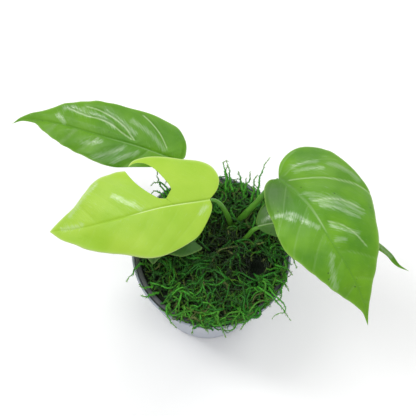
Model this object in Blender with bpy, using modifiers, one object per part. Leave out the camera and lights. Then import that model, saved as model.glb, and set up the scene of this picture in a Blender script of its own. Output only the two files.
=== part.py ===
"""A mini monstera in its nested pot, with moss over the soil.

Sizes are in millimetres and are turned to metres where a mesh is made. The origin is the
centre of the pot's underside, +Z is up, and the side that faces -Y is the pot's front.
A leaf is drawn flat, as u along its midrib and v across it (v > 0 is left of the tip's
direction, seen from above), and the flat leaf is then bent over its midrib's real curve.
"""
import math
import random

import bmesh
import bpy
from mathutils import Vector
from mathutils.geometry import delaunay_2d_cdt

MM = 0.001
MERGE_DISTANCE = 0.01 * MM
GAP = 0.3

# Pot: a 12 cm pot with a tapered wall, and an inner pot that stands in it
POT_RADIUS = 60.0
POT_BASE_RADIUS = 41.5
POT_HEIGHT = 113.0
POT_WALL = 1.8
POT_FLOOR = 2.6
LINER_PLAY = 1.4
LINER_WALL = 1.2
LINER_LIP_WIDTH = 4.0
LINER_LIP_DEPTH = 5.0
DRAIN_RADIUS = 4.0
DRAIN_CIRCLE = 22.0
DRAIN_COUNT = 6
TURN_STEPS = 48
FOOT_ROUND = 1.5
LINER_LIP_ROUND = 1.0
LINER_SHOULDER = 1.5

# Soil: its top sinks a little towards the pot's wall
SOIL_TOP = 103.0
SOIL_SINK = 1.5
SOIL_STEPS = 48
STEM_HOLE_MARGIN = 1.2

# Moss cushion, with its relief of ridges: each family has a direction and a phase in
# radians, and how fast it winds per mm
MOSS_RIM_HEIGHT = POT_HEIGHT - 0.5
MOSS_CROWN = 8.0
MOSS_LUMP = 1.6
WATER_HOLE_CENTRE = (35.0, -10.6)
WATER_HOLE_RADIUS = 5.2
CUSHION_RINGS = 15
CUSHION_SECTORS = 52
RIDGE_HEIGHT = 2.4
RIDGE_SPACING = 9.0
RIDGE_SWING = 1.6
RIDGE_FAMILIES = [(0.3, 0.16, 0.0), (1.4, 0.21, 1.9), (2.5, 0.13, 4.1)]

# Moss strands: the few thick ones that stand for the tangle
STRAND_SEED = 3
STRAND_COUNT = 54
STRAND_SIDES = 4
STRAND_SPANS = 4
STRAND_LENGTH = (15, 27)
STRAND_RISE = (2.6, 5.5)
STRAND_BEND = 1.3
STRAND_RADIUS = (1.1, 1.6)
STRAND_TIP_SHARE = 0.55
STRAND_ROOT_DEPTH = 2.2
STRAND_DIP = 1.2
STRAND_REACH = 64.0
CLEAR_OF_HOLE = 2.8
CLEAR_OF_PETIOLES = 4.0
CLEAR_OF_LEAVES = 5.0
LOW_LEAF_HEIGHT = POT_HEIGHT + 26
LIP_START = 50.0
LIP_END = 61.0
OVER_LIP = 2.0

# Leaves
BLADE_THICKNESS = 0.8
BLADE_GRID = 5.6
EDGE_SPACING_SHARE = 0.75
MIDRIB_SHARE = 0.93
KEEL_DEPTH = 1.0
KEEL_HALF_WIDTH = 2.0
ARCH_SPAN = 30.0

# Each leaf: its colour, its midrib from the petiole to the tip, the way its face looks,
# how far each half folds (rise per mm) and arches (drop in mm at ARCH_SPAN), left then
# right, and its outline as smooth runs that meet at corners
LEAVES = {
    "leaf_upper_left": {
        "colour": (0.095, 0.29, 0.02),
        "midrib": [(-32, 58, 143), (-60, 63, 150), (-90, 68, 152), (-125, 78, 144),
                   (-152, 83.5, 133), (-161, 82, 127)],
        "face": (0.1, -0.25, 1), "fold": (0, 0), "arch": (4, 4),
        "runs": [
            [(0, 0), (-4.5, -3), (-4, -10), (-1, -16.5), (5.5, -22.3), (13, -24.7), (31.7, -26.2),
             (58, -26.1), (74, -24.6), (85.4, -20.4), (99, -14.3), (108, -8.9), (124, -3.4),
             (138, 0.3)],
            [(138, 0.3), (129, 1.2), (115.5, 3), (104, 8.8), (89, 14.2), (75, 17), (58.5, 19.4),
             (51.4, 20.4), (44.3, 20), (38, 18.2), (28, 14.1), (20, 11), (12, 9), (4, 8),
             (-2, 6), (-3.5, 2.5), (0, 0)],
        ],
    },
    "leaf_lime": {
        "colour": (0.40, 0.65, 0.07),
        "midrib": [(-5, 23, 161), (-39, 12, 165), (-71, 1, 160), (-98, -5, 149),
                   (-118, -6, 140)],
        "face": (0.05, -0.15, 1), "fold": (0, 0), "arch": (3, 3),
        "runs": [
            [(0, 0), (-6.5, -6.2), (-9.6, -14), (-6.4, -23.5), (1, -29), (14.5, -33),
             (25, -36.2), (38, -38.9), (47.5, -38.3), (51.6, -35.1)],
            [(51.6, -35.1), (46, -36.3), (40, -34.3), (35.3, -29.6), (30.6, -21.9),
             (26.6, -13), (27.2, -8), (31.5, -5.2), (38.8, -7.8), (44.5, -14.2),
             (50.5, -23.6), (54.5, -32.7)],
            [(54.5, -32.7), (61, -33.7), (68.2, -33.3), (76, -32.9), (84.3, -30),
             (90, -25.6), (100.4, -17.2), (108.5, -12), (115.2, -6.6), (122.6, 0.2)],
            [(122.6, 0.2), (113.7, 6.2), (102.6, 11.1), (94.7, 16), (82.8, 21.2),
             (68.3, 26.3), (57, 31.8), (45.8, 33.9), (29.8, 31.6), (13.5, 25.2),
             (4.2, 14.6), (-0.4, 6), (0, 0)],
        ],
    },
    "leaf_right": {
        "colour": (0.11, 0.33, 0.025),
        "midrib": [(42, 38, 175), (62, 20, 180), (80, -4, 178), (96, -23, 170),
                   (109, -40, 155), (115, -53, 141)],
        "face": (0.25, -0.25, 1), "fold": (-0.08, -0.2), "arch": (5, 5),
        "runs": [
            [(0, 0), (-5, 4.9), (-9.2, 11.3), (-11.3, 20.3), (-11, 28.5), (-8.2, 36.3),
             (-3, 42.5), (4, 46), (13, 47.8), (28.3, 51), (36, 51.8), (45, 49.6),
             (59.6, 44.5), (71.4, 38.5), (79.7, 33.5), (87.2, 27), (95.8, 18.3),
             (104.5, 9.5), (114.6, 3.4), (130.2, 0)],
            [(130.2, 0), (117.8, -2.8), (110.7, -6.4), (100.6, -11.5), (90.1, -16.4),
             (74.4, -21.2), (60.2, -25.6), (48.8, -28.8), (37.5, -28.6), (22, -25.7),
             (13.3, -23.4), (5.5, -19.3), (-0.5, -14.3), (-4, -10), (-4.4, -5), (0, 0)],
        ],
    },
    "leaf_lower_right": {
        "colour": (0.09, 0.28, 0.02),
        "midrib": [(32, 13, 140), (41, 14, 146), (61, 16, 150), (91, 14, 146), (122, 9, 135),
                   (130, 5, 130), (138, -1, 125), (147, -4, 122)],
        "face": (0.1, -0.1, 1), "fold": (0, -0.25), "arch": (4, 4),
        "runs": [
            [(0, 0), (-1.1, 3.8), (2.1, 11), (6.5, 15.1), (16, 20.5), (30, 23), (46, 21.5),
             (62, 16), (76, 9), (87, 4), (97, 1.8), (110, 1.8), (127, 0)],
            [(127, 0), (114, -1.6), (100, -2.4), (90, -4), (78, -8), (62, -15), (46, -18.5),
             (34, -15), (25, -8), (18, -3), (12, -1.4), (5, -1), (0, 0)],
        ],
    },
    "leaf_lower_left": {
        "colour": (0.07, 0.20, 0.02),
        "midrib": [(-13.8, 0.4, 133), (-20.7, -4.4, 136), (-28.1, -7.5, 135), (-35.9, -9.5, 131.5),
                   (-40.8, -12.4, 127), (-42.4, -17.8, 121.5)],
        "face": (-0.2, -0.2, 1), "fold": (0, 0), "arch": (3, 3),
        "runs": [
            [(0, 0), (0.2, 3.6), (-2.9, 7.6), (-1, 8.9), (2.6, 9), (7.5, 8.9), (12.5, 8.4),
             (16.9, 6.5), (20.6, 4.4), (26, 3.8), (32.3, 3.8), (38.2, 2), (41.2, 0)],
            [(41.2, 0), (39.6, -2.6), (37.5, -5), (33, -7.5), (26, -9.5), (18, -10.5),
             (10, -9.5), (3, -6.5), (0.5, -3), (0, 0)],
        ],
    },
}

# Stem and petioles: points with a radius each, in mm. A petiole ends just under its leaf
STEM = [((12, 20, 82), 4.2), ((12, 20, 98), 4.4), ((13, 20, 108), 4.6), ((14, 20, 114), 3.6)]
PETIOLES = {
    "leaf_lime": [((13, 20, 106), 2.2), ((11.4, 22.3, 119), 2.1), ((9.2, 21.9, 132), 2.0),
                  ((6.4, 22.4, 143), 1.8), ((3, 23.2, 151.5), 1.6), ((-0.6, 24, 156), 1.4)],
    "leaf_right": [((14, 20, 106), 2.9), ((19.1, 24.7, 118), 2.7), ((25.2, 27.6, 136), 2.3),
                   ((29.4, 29.5, 147), 2.1), ((32.8, 31.6, 157), 2.0), ((36.8, 34.3, 167), 1.9)],
    "leaf_lower_right": [((14, 18, 106), 2.2), ((21.4, 8.7, 114), 2.0), ((23.7, 9.9, 118), 1.9),
                         ((26.1, 11, 125), 1.8), ((28.8, 12.5, 133), 1.7)],
    "leaf_upper_left": [((12, 21, 106), 2.6), ((5, 23.5, 110), 2.5), ((-3, 26, 115), 2.3),
                        ((-10, 33, 126), 2.2), ((-18, 45, 135), 2.0), ((-25, 56, 137.5), 1.9)],
    "leaf_lower_left": [((12, 19, 106), 2.2), ((3, 16, 110), 2.0), ((-6, 12, 114), 1.8),
                        ((-11.5, 7, 121), 1.6), ((-13, 3, 127.5), 1.5)],
}
PETIOLE_END_SHARE = 0.85
PETIOLE_SINK = 0.7
STEM_CLEARANCE = 0.9

# Single moss strands that stand out of the cushion, placed by hand, in mm
LONE_STRANDS = [
    [(6, 46, 118), (6, 52, 122), (5, 58, 126), (3, 63, 128), (3, 67, 128), (6, 68, 127)],
    [(12, 47, 117), (9, 54, 121), (8, 59, 125), (6, 65, 127), (4, 68.5, 128)],
    [(31, 42, 115), (31, 49, 120), (31, 56, 125), (33, 64, 129), (37, 72, 133)],
    [(19, 49, 116), (17, 56, 121), (14, 61, 126)],
    [(-48, -14, 113), (-54, -19, 117), (-57, -26, 118.5), (-61, -32, 118)],
    [(36, -26, 118), (44, -31, 120), (51, -37, 121), (57, -43, 120), (62, -49, 117)],
    [(42, -22, 117), (50, -33, 121), (57, -39, 121.5), (57, -44, 120.5), (51, -46, 119),
     (48, -49, 117)],
    [(-27, -43, 114), (-29, -50, 117), (-26, -57, 117.5), (-21, -62, 116)],
    [(-18, -45, 114), (-12, -53, 117.5), (-8, -60, 117), (-9, -65, 113)],
    [(4, -46, 114), (8, -53, 118), (13, -60, 117.5), (16, -65, 113)],
    [(-48, 8, 113), (-53, 2, 117), (-57, -5, 118)],
    [(49, 8, 113), (55, 4, 117), (61, -2, 118.5), (64, -9, 118)],
]
LONE_STRAND_RADIUS = 1.15


def clear_scene():
    for item in list(bpy.data.objects):
        bpy.data.objects.remove(item, do_unlink=True)


def new_collection(name):
    group = bpy.data.collections.new(name)
    bpy.context.scene.collection.children.link(group)
    return group


def new_material(name, colour, roughness):
    material = bpy.data.materials.new(name)
    material.use_nodes = True
    shader = material.node_tree.nodes["Principled BSDF"]
    shader.inputs["Base Color"].default_value = (*colour, 1.0)
    shader.inputs["Roughness"].default_value = roughness
    return material


def object_from_bmesh(name, builder, group, material):
    mesh = bpy.data.meshes.new(name)
    builder.to_mesh(mesh)
    builder.free()
    mesh.materials.append(material)
    item = bpy.data.objects.new(name, mesh)
    group.objects.link(item)
    return item


def turned(name, profile, steps, group, material):
    """A closed turned body, from a profile (radius, height) that starts and ends on the axis."""
    mesh = bpy.data.meshes.new(name)
    points = [(radius * MM, 0, height * MM) for radius, height in profile]
    edges = [(i, i + 1) for i in range(len(points) - 1)]
    mesh.from_pydata(points, edges, [])
    mesh.materials.append(material)
    item = bpy.data.objects.new(name, mesh)
    group.objects.link(item)
    screw = item.modifiers.new("turn", "SCREW")
    screw.axis = "Z"
    screw.steps = steps
    screw.render_steps = steps
    screw.use_merge_vertices = True
    screw.merge_threshold = MERGE_DISTANCE
    apply_modifiers(item)
    fix_normals(item)
    return item


def arc(centre, radius, start, end, count):
    """Points on a round edge in the turning profile, with angles in degrees."""
    angles = [math.radians(start + (end - start) * i / count) for i in range(count + 1)]
    return [(centre[0] + radius * math.cos(a), centre[1] + radius * math.sin(a)) for a in angles]


def apply_modifiers(item):
    """Swap the object's mesh for the one its modifiers give, with doubles merged."""
    graph = bpy.context.evaluated_depsgraph_get()
    mesh = bpy.data.meshes.new_from_object(item.evaluated_get(graph))
    item.modifiers.clear()
    item.data = mesh
    weld(item)


def weld(item):
    builder = bmesh.new()
    builder.from_mesh(item.data)
    bmesh.ops.remove_doubles(builder, verts=builder.verts, dist=MERGE_DISTANCE)
    builder.to_mesh(item.data)
    builder.free()


def boolean(item, pieces, operation, solver="EXACT"):
    """Join or cut the object by all pieces at once, and remove the pieces."""
    group = new_collection(item.name + "_tools")
    for piece in pieces:
        for owner in list(piece.users_collection):
            owner.objects.unlink(piece)
        group.objects.link(piece)
    change = item.modifiers.new("boolean", "BOOLEAN")
    change.operation = operation
    change.operand_type = "COLLECTION"
    change.collection = group
    change.solver = solver
    apply_modifiers(item)
    for piece in pieces:
        bpy.data.objects.remove(piece, do_unlink=True)
    bpy.data.collections.remove(group)


def keep_largest_body(item):
    """Keep the faces joined to each other by edges that are most: this drops loose scraps
    and fills the hollows that fusing seals."""
    builder = bmesh.new()
    builder.from_mesh(item.data)
    unseen = set(builder.faces)
    bodies = []
    while unseen:
        front = [unseen.pop()]
        body = list(front)
        while front:
            for edge in front.pop().edges:
                for other in edge.link_faces:
                    if other in unseen:
                        unseen.remove(other)
                        front.append(other)
                        body.append(other)
        bodies.append(body)
    bodies.sort(key=len)
    for body in bodies[:-1]:
        bmesh.ops.delete(builder, geom=body, context="FACES")
    builder.to_mesh(item.data)
    builder.free()


def smooth_points(points, per_span):
    """A curve through all points (centripetal Catmull-Rom), with per_span steps a span."""
    points = [Vector(p) for p in points]
    padded = [2 * points[0] - points[1], *points, 2 * points[-1] - points[-2]]
    result = []
    for i in range(len(points) - 1):
        a, b, c, d = padded[i:i + 4]
        knots = [0.0]
        for p, q in ((a, b), (b, c), (c, d)):
            knots.append(knots[-1] + max((q - p).length, 1e-6) ** 0.5)
        k0, k1, k2, k3 = knots
        for step in range(per_span):
            t = k1 + (k2 - k1) * step / per_span
            ab = a * ((k1 - t) / (k1 - k0)) + b * ((t - k0) / (k1 - k0))
            bc = b * ((k2 - t) / (k2 - k1)) + c * ((t - k1) / (k2 - k1))
            cd = c * ((k3 - t) / (k3 - k2)) + d * ((t - k2) / (k3 - k2))
            abc = ab * ((k2 - t) / (k2 - k0)) + bc * ((t - k0) / (k2 - k0))
            bcd = bc * ((k3 - t) / (k3 - k1)) + cd * ((t - k1) / (k3 - k1))
            result.append(abc * ((k2 - t) / (k2 - k1)) + bcd * ((t - k1) / (k2 - k1)))
    result.append(points[-1])
    return result


def tube(name, points, radii, group, material, sides=8):
    """A tapered tube with closed ends along the points, as a welded mesh."""
    curve = bpy.data.curves.new(name, "CURVE")
    curve.dimensions = "3D"
    curve.bevel_depth = MM
    curve.bevel_resolution = (sides - 4) // 2
    curve.use_fill_caps = True
    spline = curve.splines.new("POLY")
    spline.points.add(len(points) - 1)
    for target, point, radius in zip(spline.points, points, radii):
        target.co = (*(Vector(point) * MM), 1.0)
        target.radius = radius
    source = bpy.data.objects.new(name, curve)
    group.objects.link(source)
    graph = bpy.context.evaluated_depsgraph_get()
    mesh = bpy.data.meshes.new_from_object(source.evaluated_get(graph))
    bpy.data.objects.remove(source, do_unlink=True)
    item = bpy.data.objects.new(name, mesh)
    group.objects.link(item)
    weld(item)
    mesh.materials.clear()
    mesh.materials.append(material)
    return item


class Blade:
    """The bent surface of one leaf: place() turns (u, v, height) into a point in mm."""

    def __init__(self, leaf):
        self.line = smooth_points(leaf["midrib"], 24)
        self.at = [0.0]
        for a, b in zip(self.line, self.line[1:]):
            self.at.append(self.at[-1] + (b - a).length)
        self.length = self.at[-1]
        self.face = Vector(leaf["face"]).normalized()
        self.fold = leaf["fold"]
        self.arch = leaf["arch"]

    def midrib(self, u):
        """The midrib's point and direction at u, run on straight past its ends."""
        inside = min(max(u, 0.0), self.length)
        i = 0
        while i < len(self.at) - 2 and self.at[i + 1] < inside:
            i += 1
        span = self.at[i + 1] - self.at[i]
        point = self.line[i].lerp(self.line[i + 1], (inside - self.at[i]) / span)
        before = self.line[max(i - 2, 0)]
        after = self.line[min(i + 3, len(self.line) - 1)]
        direction = (after - before).normalized()
        return point + direction * (u - inside), direction

    def place(self, u, v, height=0.0):
        point, along = self.midrib(u)
        side = self.face.cross(along).normalized()
        up = along.cross(side)
        half = 0 if v > 0 else 1
        rise = self.fold[half] * abs(v) - self.arch[half] * (v / ARCH_SPAN) ** 2
        return point + side * v + up * (rise + height)


def inside_outline(u, v, outline):
    """Whether (u, v) lies in the closed outline, by counting crossings."""
    inside = False
    for a, b in zip(outline, outline[1:] + outline[:1]):
        if (a[1] > v) != (b[1] > v) and u < a[0] + (v - a[1]) * (b[0] - a[0]) / (b[1] - a[1]):
            inside = not inside
    return inside


def flat_leaf(runs, length, spacing):
    """The flat leaf as points (u, v) and triangles, from its outline and a grid inside it."""
    outline = []
    for run in runs:
        dense = smooth_points([(u, v, 0) for u, v in run], 12)
        total = sum((b - a).length for a, b in zip(dense, dense[1:]))
        count = max(int(total / (EDGE_SPACING_SHARE * spacing)), 3)
        travelled, target, index = 0.0, 0, 0
        for a, b in zip(dense, dense[1:]):
            step = (b - a).length
            while index < count and travelled + step >= index * total / count:
                part = (index * total / count - travelled) / step if step else 0.0
                spot = a.lerp(b, part)
                outline.append((spot.x, spot.y))
                index += 1
            travelled += step
    points = list(outline)

    def far_from_all(u, v, distance):
        return all((u - p[0]) ** 2 + (v - p[1]) ** 2 > distance ** 2 for p in points)

    for step in range(1, int(MIDRIB_SHARE * length / spacing)):
        for v in (0.0, KEEL_HALF_WIDTH, -KEEL_HALF_WIDTH):
            u = step * spacing
            if inside_outline(u, v, outline) and far_from_all(u, v, 0.3 * spacing):
                points.append((u, v))
    rows = int(70 / spacing)
    for row in range(-rows, rows + 1):
        v = row * spacing * math.sqrt(3) / 2
        for column in range(-4, int(length / spacing) + 1):
            u = (column + 0.5 * (row % 2)) * spacing
            if inside_outline(u, v, outline) and far_from_all(u, v, 0.6 * spacing):
                points.append((u, v))
    edges = [(i, (i + 1) % len(outline)) for i in range(len(outline))]
    result = delaunay_2d_cdt([Vector(p) for p in points], edges, [], 1, 1e-5)
    flat = [(p.x, p.y) for p in result[0]]
    triangles = []
    for a, b, c in result[2]:
        area = ((flat[b][0] - flat[a][0]) * (flat[c][1] - flat[a][1])
                - (flat[b][1] - flat[a][1]) * (flat[c][0] - flat[a][0]))
        triangles.append((a, b, c) if area > 0 else (a, c, b))
    return flat, triangles


def blade(name, leaf, group):
    """One leaf blade: its two faces share one split, and the keel thickens the underside."""
    surface = Blade(leaf)
    flat, triangles = flat_leaf(leaf["runs"], surface.length, BLADE_GRID)
    half = BLADE_THICKNESS / 2
    builder = bmesh.new()
    top, bottom = [], []
    for u, v in flat:
        taper = max(1.0 - u / surface.length, 0.0)
        keel = KEEL_DEPTH * taper if abs(v) < 0.5 * KEEL_HALF_WIDTH and u > 0.5 else 0.0
        top.append(builder.verts.new(surface.place(u, v, half) * MM))
        bottom.append(builder.verts.new(surface.place(u, v, -half - keel) * MM))
    directed = set()
    for a, b, c in triangles:
        builder.faces.new((top[a], top[b], top[c]))
        builder.faces.new((bottom[a], bottom[c], bottom[b]))
        directed.update(((a, b), (b, c), (c, a)))
    for a, b in directed:
        if (b, a) not in directed:
            builder.faces.new((top[a], bottom[a], bottom[b]))
            builder.faces.new((top[a], bottom[b], top[b]))
    item = object_from_bmesh(name, builder, group, new_material(name, leaf["colour"], 0.4))
    item.data.shade_smooth()
    item.data.set_sharp_from_angle(angle=math.radians(50))
    return surface


def pot_radius(height):
    """The outer pot's outer radius at a height, on its straight taper."""
    return POT_BASE_RADIUS + (POT_RADIUS - POT_BASE_RADIUS) * height / POT_HEIGHT


def outer_pot(group):
    edge = POT_WALL / 2
    rim = arc((POT_RADIUS - edge, POT_HEIGHT - edge), edge, 180, 0, 6)
    base = arc((POT_BASE_RADIUS - FOOT_ROUND, FOOT_ROUND), FOOT_ROUND, -10, -90, 4)
    profile = [(0, POT_FLOOR), (pot_radius(POT_FLOOR) - POT_WALL, POT_FLOOR), *rim, *base, (0, 0)]
    turned("outer_pot", profile, TURN_STEPS, group,
           new_material("outer_pot", (0.36, 0.39, 0.46), 0.4))


def fix_normals(item):
    """Turn all faces out on a closed turned shape."""
    builder = bmesh.new()
    builder.from_mesh(item.data)
    bmesh.ops.recalc_face_normals(builder, faces=builder.faces)
    builder.to_mesh(item.data)
    builder.free()
    item.data.shade_smooth()
    item.data.set_sharp_from_angle(angle=math.radians(40))


def liner_radius(height):
    """The inner pot's outer radius at a height, with its play to the outer pot."""
    return pot_radius(height) - POT_WALL - LINER_PLAY


def inner_pot(group):
    floor = POT_FLOOR + GAP
    lip_outer = POT_RADIUS - POT_WALL - GAP
    lip_inner = lip_outer - LINER_LIP_WIDTH
    lip_bottom = POT_HEIGHT - LINER_LIP_DEPTH
    seat = liner_radius(lip_bottom)
    skirt = min(pot_radius(lip_bottom) - POT_WALL - GAP, lip_outer)
    profile = [(0, floor + LINER_WALL), (liner_radius(floor) - LINER_WALL, floor + LINER_WALL),
               (seat - LINER_WALL - GAP, lip_bottom - LINER_SHOULDER)]
    round_height = POT_HEIGHT - LINER_LIP_ROUND
    profile += arc((lip_inner + LINER_LIP_ROUND, round_height), LINER_LIP_ROUND, 180, 90, 3)
    profile += arc((lip_outer - LINER_LIP_ROUND, round_height), LINER_LIP_ROUND, 90, 0, 3)
    profile += [(skirt, lip_bottom), (seat, lip_bottom - 2 * GAP), (liner_radius(floor), floor),
                (0, floor)]
    item = turned("inner_pot", profile, TURN_STEPS, group,
                  new_material("inner_pot", (0.045, 0.048, 0.052), 0.45))
    drains = []
    for i in range(DRAIN_COUNT):
        angle = 2 * math.pi * i / DRAIN_COUNT
        spot = (DRAIN_CIRCLE * math.cos(angle), DRAIN_CIRCLE * math.sin(angle), floor)
        drains.append(round_cutter("drain", spot, DRAIN_RADIUS, 4 * LINER_WALL, 16))
    boolean(item, drains, "DIFFERENCE")
    fix_normals(item)


def round_cutter(name, centre, radius, height, sides):
    """An upright cylinder round its centre."""
    bpy.ops.mesh.primitive_cylinder_add(vertices=sides, radius=radius * MM, depth=height * MM,
                                        location=Vector(centre) * MM)
    item = bpy.context.object
    item.name = name
    item.hide_render = True
    item.display_type = "WIRE"
    return item


def inside_radius(height):
    """The radius that the soil and the moss fill at a height."""
    return liner_radius(height) - LINER_WALL - GAP


def soil(group):
    floor = POT_FLOOR + LINER_WALL + 2 * GAP
    top_radius = inside_radius(SOIL_TOP) - 1.0
    profile = [(0, SOIL_TOP), (top_radius / 2, SOIL_TOP - SOIL_SINK / 4),
               (top_radius, SOIL_TOP - SOIL_SINK), (inside_radius(floor), floor), (0, floor)]
    item = turned("potting_soil", profile, SOIL_STEPS, group,
                  new_material("potting_soil", (0.035, 0.022, 0.013), 0.95))
    (x, y, bottom), radius = STEM[0]
    depth = 2 * (SOIL_TOP - bottom + GAP)
    hole = round_cutter("stem_hole", (x, y, SOIL_TOP), radius + STEM_HOLE_MARGIN + GAP, depth, 16)
    boolean(item, [hole], "DIFFERENCE")
    fix_normals(item)


def petiole_route(name, blades):
    """A petiole's points and radii, up to the end of its leaf's midrib."""
    points = [point for point, _ in PETIOLES[name]]
    radii = [radius for _, radius in PETIOLES[name]]
    radii.append(PETIOLE_END_SHARE * radii[-1])
    points.append(blades[name].place(-0.4, 0, -PETIOLE_SINK - 0.8 * radii[-1]))
    return points, radii


def smooth_route(points, radii, per_span):
    """The points of a smooth tube, with its radius carried along evenly."""
    line = smooth_points(points, per_span)
    widths = []
    for a, b in zip(radii, radii[1:]):
        widths += [a + (b - a) * step / per_span for step in range(per_span)]
    return line, widths + [radii[-1]]


def stem_routes(blades):
    routes = [([p for p, _ in STEM], [r for _, r in STEM])]
    routes += [petiole_route(name, blades) for name in PETIOLES]
    return [smooth_route(points, radii, 2) for points, radii in routes]


def stem(group, routes):
    material = new_material("stem_with_petioles", (0.07, 0.24, 0.02), 0.45)
    tubes = [tube("stem_with_petioles", line, radii, group, material) for line, radii in routes]
    tubes[0].name = "stem_with_petioles"
    boolean(tubes[0], tubes[1:], "UNION")
    fix_normals(tubes[0])


def moss_height(x, y):
    """The cushion's top: a low crown with lumps, a little lower along the rim."""
    reach = math.hypot(x, y) / inside_radius(MOSS_RIM_HEIGHT)
    lumps = (math.sin(0.23 * x + 1.3) * math.cos(0.19 * y - 0.4)
             + 0.7 * math.sin(0.41 * y + 0.17 * x) * math.cos(0.37 * x))
    return MOSS_RIM_HEIGHT + MOSS_CROWN * (1 - reach ** 2.4) + MOSS_LUMP * lumps * (1.1 - reach)


def moss_relief(x, y):
    """The tangle as relief: thin winding ridges that run three ways over the cushion."""
    crest = 0.0
    for turn, wind, phase in RIDGE_FAMILIES:
        across = x * math.cos(turn) + y * math.sin(turn)
        along = y * math.cos(turn) - x * math.sin(turn)
        wave = math.pi * across / RIDGE_SPACING + RIDGE_SWING * math.sin(wind * along + phase)
        crest = max(crest, (1 - abs(math.sin(wave + phase))) ** 1.5)
    return RIDGE_HEIGHT * (crest - 0.5)


def moss_cushion(group, material):
    """The cushion under the strands: a round height field over a flat underside."""
    rings, sectors = CUSHION_RINGS, CUSHION_SECTORS
    radius = inside_radius(SOIL_TOP + GAP)
    builder = bmesh.new()
    rows = []
    for ring in range(1, rings + 1):
        row = []
        for sector in range(sectors):
            angle = 2 * math.pi * (sector + 0.5 * (ring % 2)) / sectors
            x = radius * ring / rings * math.cos(angle)
            y = radius * ring / rings * math.sin(angle)
            height = moss_height(x, y) + moss_relief(x, y)
            row.append(builder.verts.new(Vector((x, y, height)) * MM))
        rows.append(row)
    crown = builder.verts.new(Vector((0, 0, moss_height(0, 0))) * MM)
    under = [builder.verts.new((v.co.x, v.co.y, (SOIL_TOP + GAP) * MM)) for v in rows[-1]]
    for i in range(sectors):
        j = (i + 1) % sectors
        builder.faces.new((crown, rows[0][i], rows[0][j]))
        for inner, outer, ring in zip(rows, rows[1:], range(1, rings)):
            if ring % 2:
                builder.faces.new((inner[i], outer[i], outer[j]))
                builder.faces.new((inner[i], outer[j], inner[j]))
            else:
                builder.faces.new((inner[i], outer[i], inner[j]))
                builder.faces.new((outer[i], outer[j], inner[j]))
        builder.faces.new((rows[-1][i], under[i], rows[-1][j]))
        builder.faces.new((under[i], under[j], rows[-1][j]))
    builder.faces.new(list(reversed(under)))
    return object_from_bmesh("moss", builder, group, material)


def strand_points(draw):
    """One strand: it leaves the cushion, bends aside over it and dips back in, or, near
    the rim, hangs its tip over the lip."""
    reach = inside_radius(SOIL_TOP) * math.sqrt(draw.random())
    turn = draw.uniform(0, 2 * math.pi)
    heading = draw.uniform(0, 2 * math.pi)
    bend = draw.uniform(-STRAND_BEND, STRAND_BEND)
    step = draw.uniform(*STRAND_LENGTH) / STRAND_SPANS
    rise = draw.uniform(*STRAND_RISE)
    x, y = reach * math.cos(turn), reach * math.sin(turn)
    points = []
    for i in range(STRAND_SPANS + 1):
        t = i / STRAND_SPANS
        ground = moss_height(x, y)
        if math.hypot(x, y) > LIP_START:
            ground = max(ground, POT_HEIGHT + OVER_LIP)
        sink = -STRAND_ROOT_DEPTH if i == 0 else STRAND_DIP * (1 - 2 * t)
        lift = rise * math.sin(math.pi * min(1.1 * t, 1))
        points.append(Vector((x, y, ground + sink + lift)))
        x += step * math.cos(heading + bend * t)
        y += step * math.sin(heading + bend * t)
    return points


def strand_is_clear(points, routes, low_spots):
    """Whether a strand stays off the leaves, the petioles, the hole and the pot's lip."""
    for point in points:
        from_hole = math.hypot(point.x - WATER_HOLE_CENTRE[0], point.y - WATER_HOLE_CENTRE[1])
        if from_hole < WATER_HOLE_RADIUS + CLEAR_OF_HOLE:
            return False
        if math.hypot(point.x, point.y) > STRAND_REACH:
            return False
        for line, radii in routes:
            for spot, radius in zip(line, radii):
                if (spot - point).length < radius + CLEAR_OF_PETIOLES:
                    return False
    for low, high in zip(points, points[1:]):
        middle = (low + high) / 2
        if any((spot - middle).length < CLEAR_OF_LEAVES for spot in low_spots):
            return False
        over_lip = LIP_START < math.hypot(middle.x, middle.y) < LIP_END
        if over_lip and middle.z < POT_HEIGHT + OVER_LIP - 0.2:
            return False
    return True


def moss(group, routes, surfaces):
    """The cushion with its strands fused on, cut clear of the stem and for the hole."""
    draw = random.Random(STRAND_SEED)
    material = new_material("moss", (0.035, 0.16, 0.02), 0.8)
    low_spots = []
    for name, surface in surfaces.items():
        for u in range(0, int(surface.length), 5):
            low_spots += [surface.place(u, v) for v in (-8, -4, 0, 4, 8)]
    low_spots = [spot for spot in low_spots if spot.z < LOW_LEAF_HEIGHT]
    lines = [(smooth_points(points, 1), LONE_STRAND_RADIUS) for points in LONE_STRANDS]
    while len(lines) < STRAND_COUNT + len(LONE_STRANDS):
        points = strand_points(draw)
        radius = draw.uniform(*STRAND_RADIUS)
        if strand_is_clear(points, routes, low_spots):
            lines.append((points, radius))
    strands = []
    for points, radius in lines:
        radii = [radius] * (len(points) - 1) + [radius * STRAND_TIP_SHARE]
        strands.append(tube("strand", points, radii, group, material, STRAND_SIDES))
    item = moss_cushion(group, material)
    boolean(item, strands, "UNION", "MANIFOLD")
    x, y = WATER_HOLE_CENTRE
    cutters = [round_cutter("water_hole", (x, y, SOIL_TOP + 15), WATER_HOLE_RADIUS, 40, 20)]
    for line, radii in routes:
        wide = [radius + STEM_CLEARANCE for radius in radii]
        cutters.append(tube("stem_clearance", line, wide, group, material))
    boolean(item, cutters, "DIFFERENCE", "MANIFOLD")
    keep_largest_body(item)
    item.data.materials.clear()
    item.data.materials.append(material)
    item.data.shade_smooth()
    item.data.set_sharp_from_angle(angle=math.radians(50))


def build():
    clear_scene()
    group = new_collection("mini_monstera")
    outer_pot(group)
    inner_pot(group)
    soil(group)
    surfaces = {name: blade(name, leaf, group) for name, leaf in LEAVES.items()}
    routes = stem_routes(surfaces)
    stem(group, routes)
    moss(group, routes, surfaces)


build()
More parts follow.
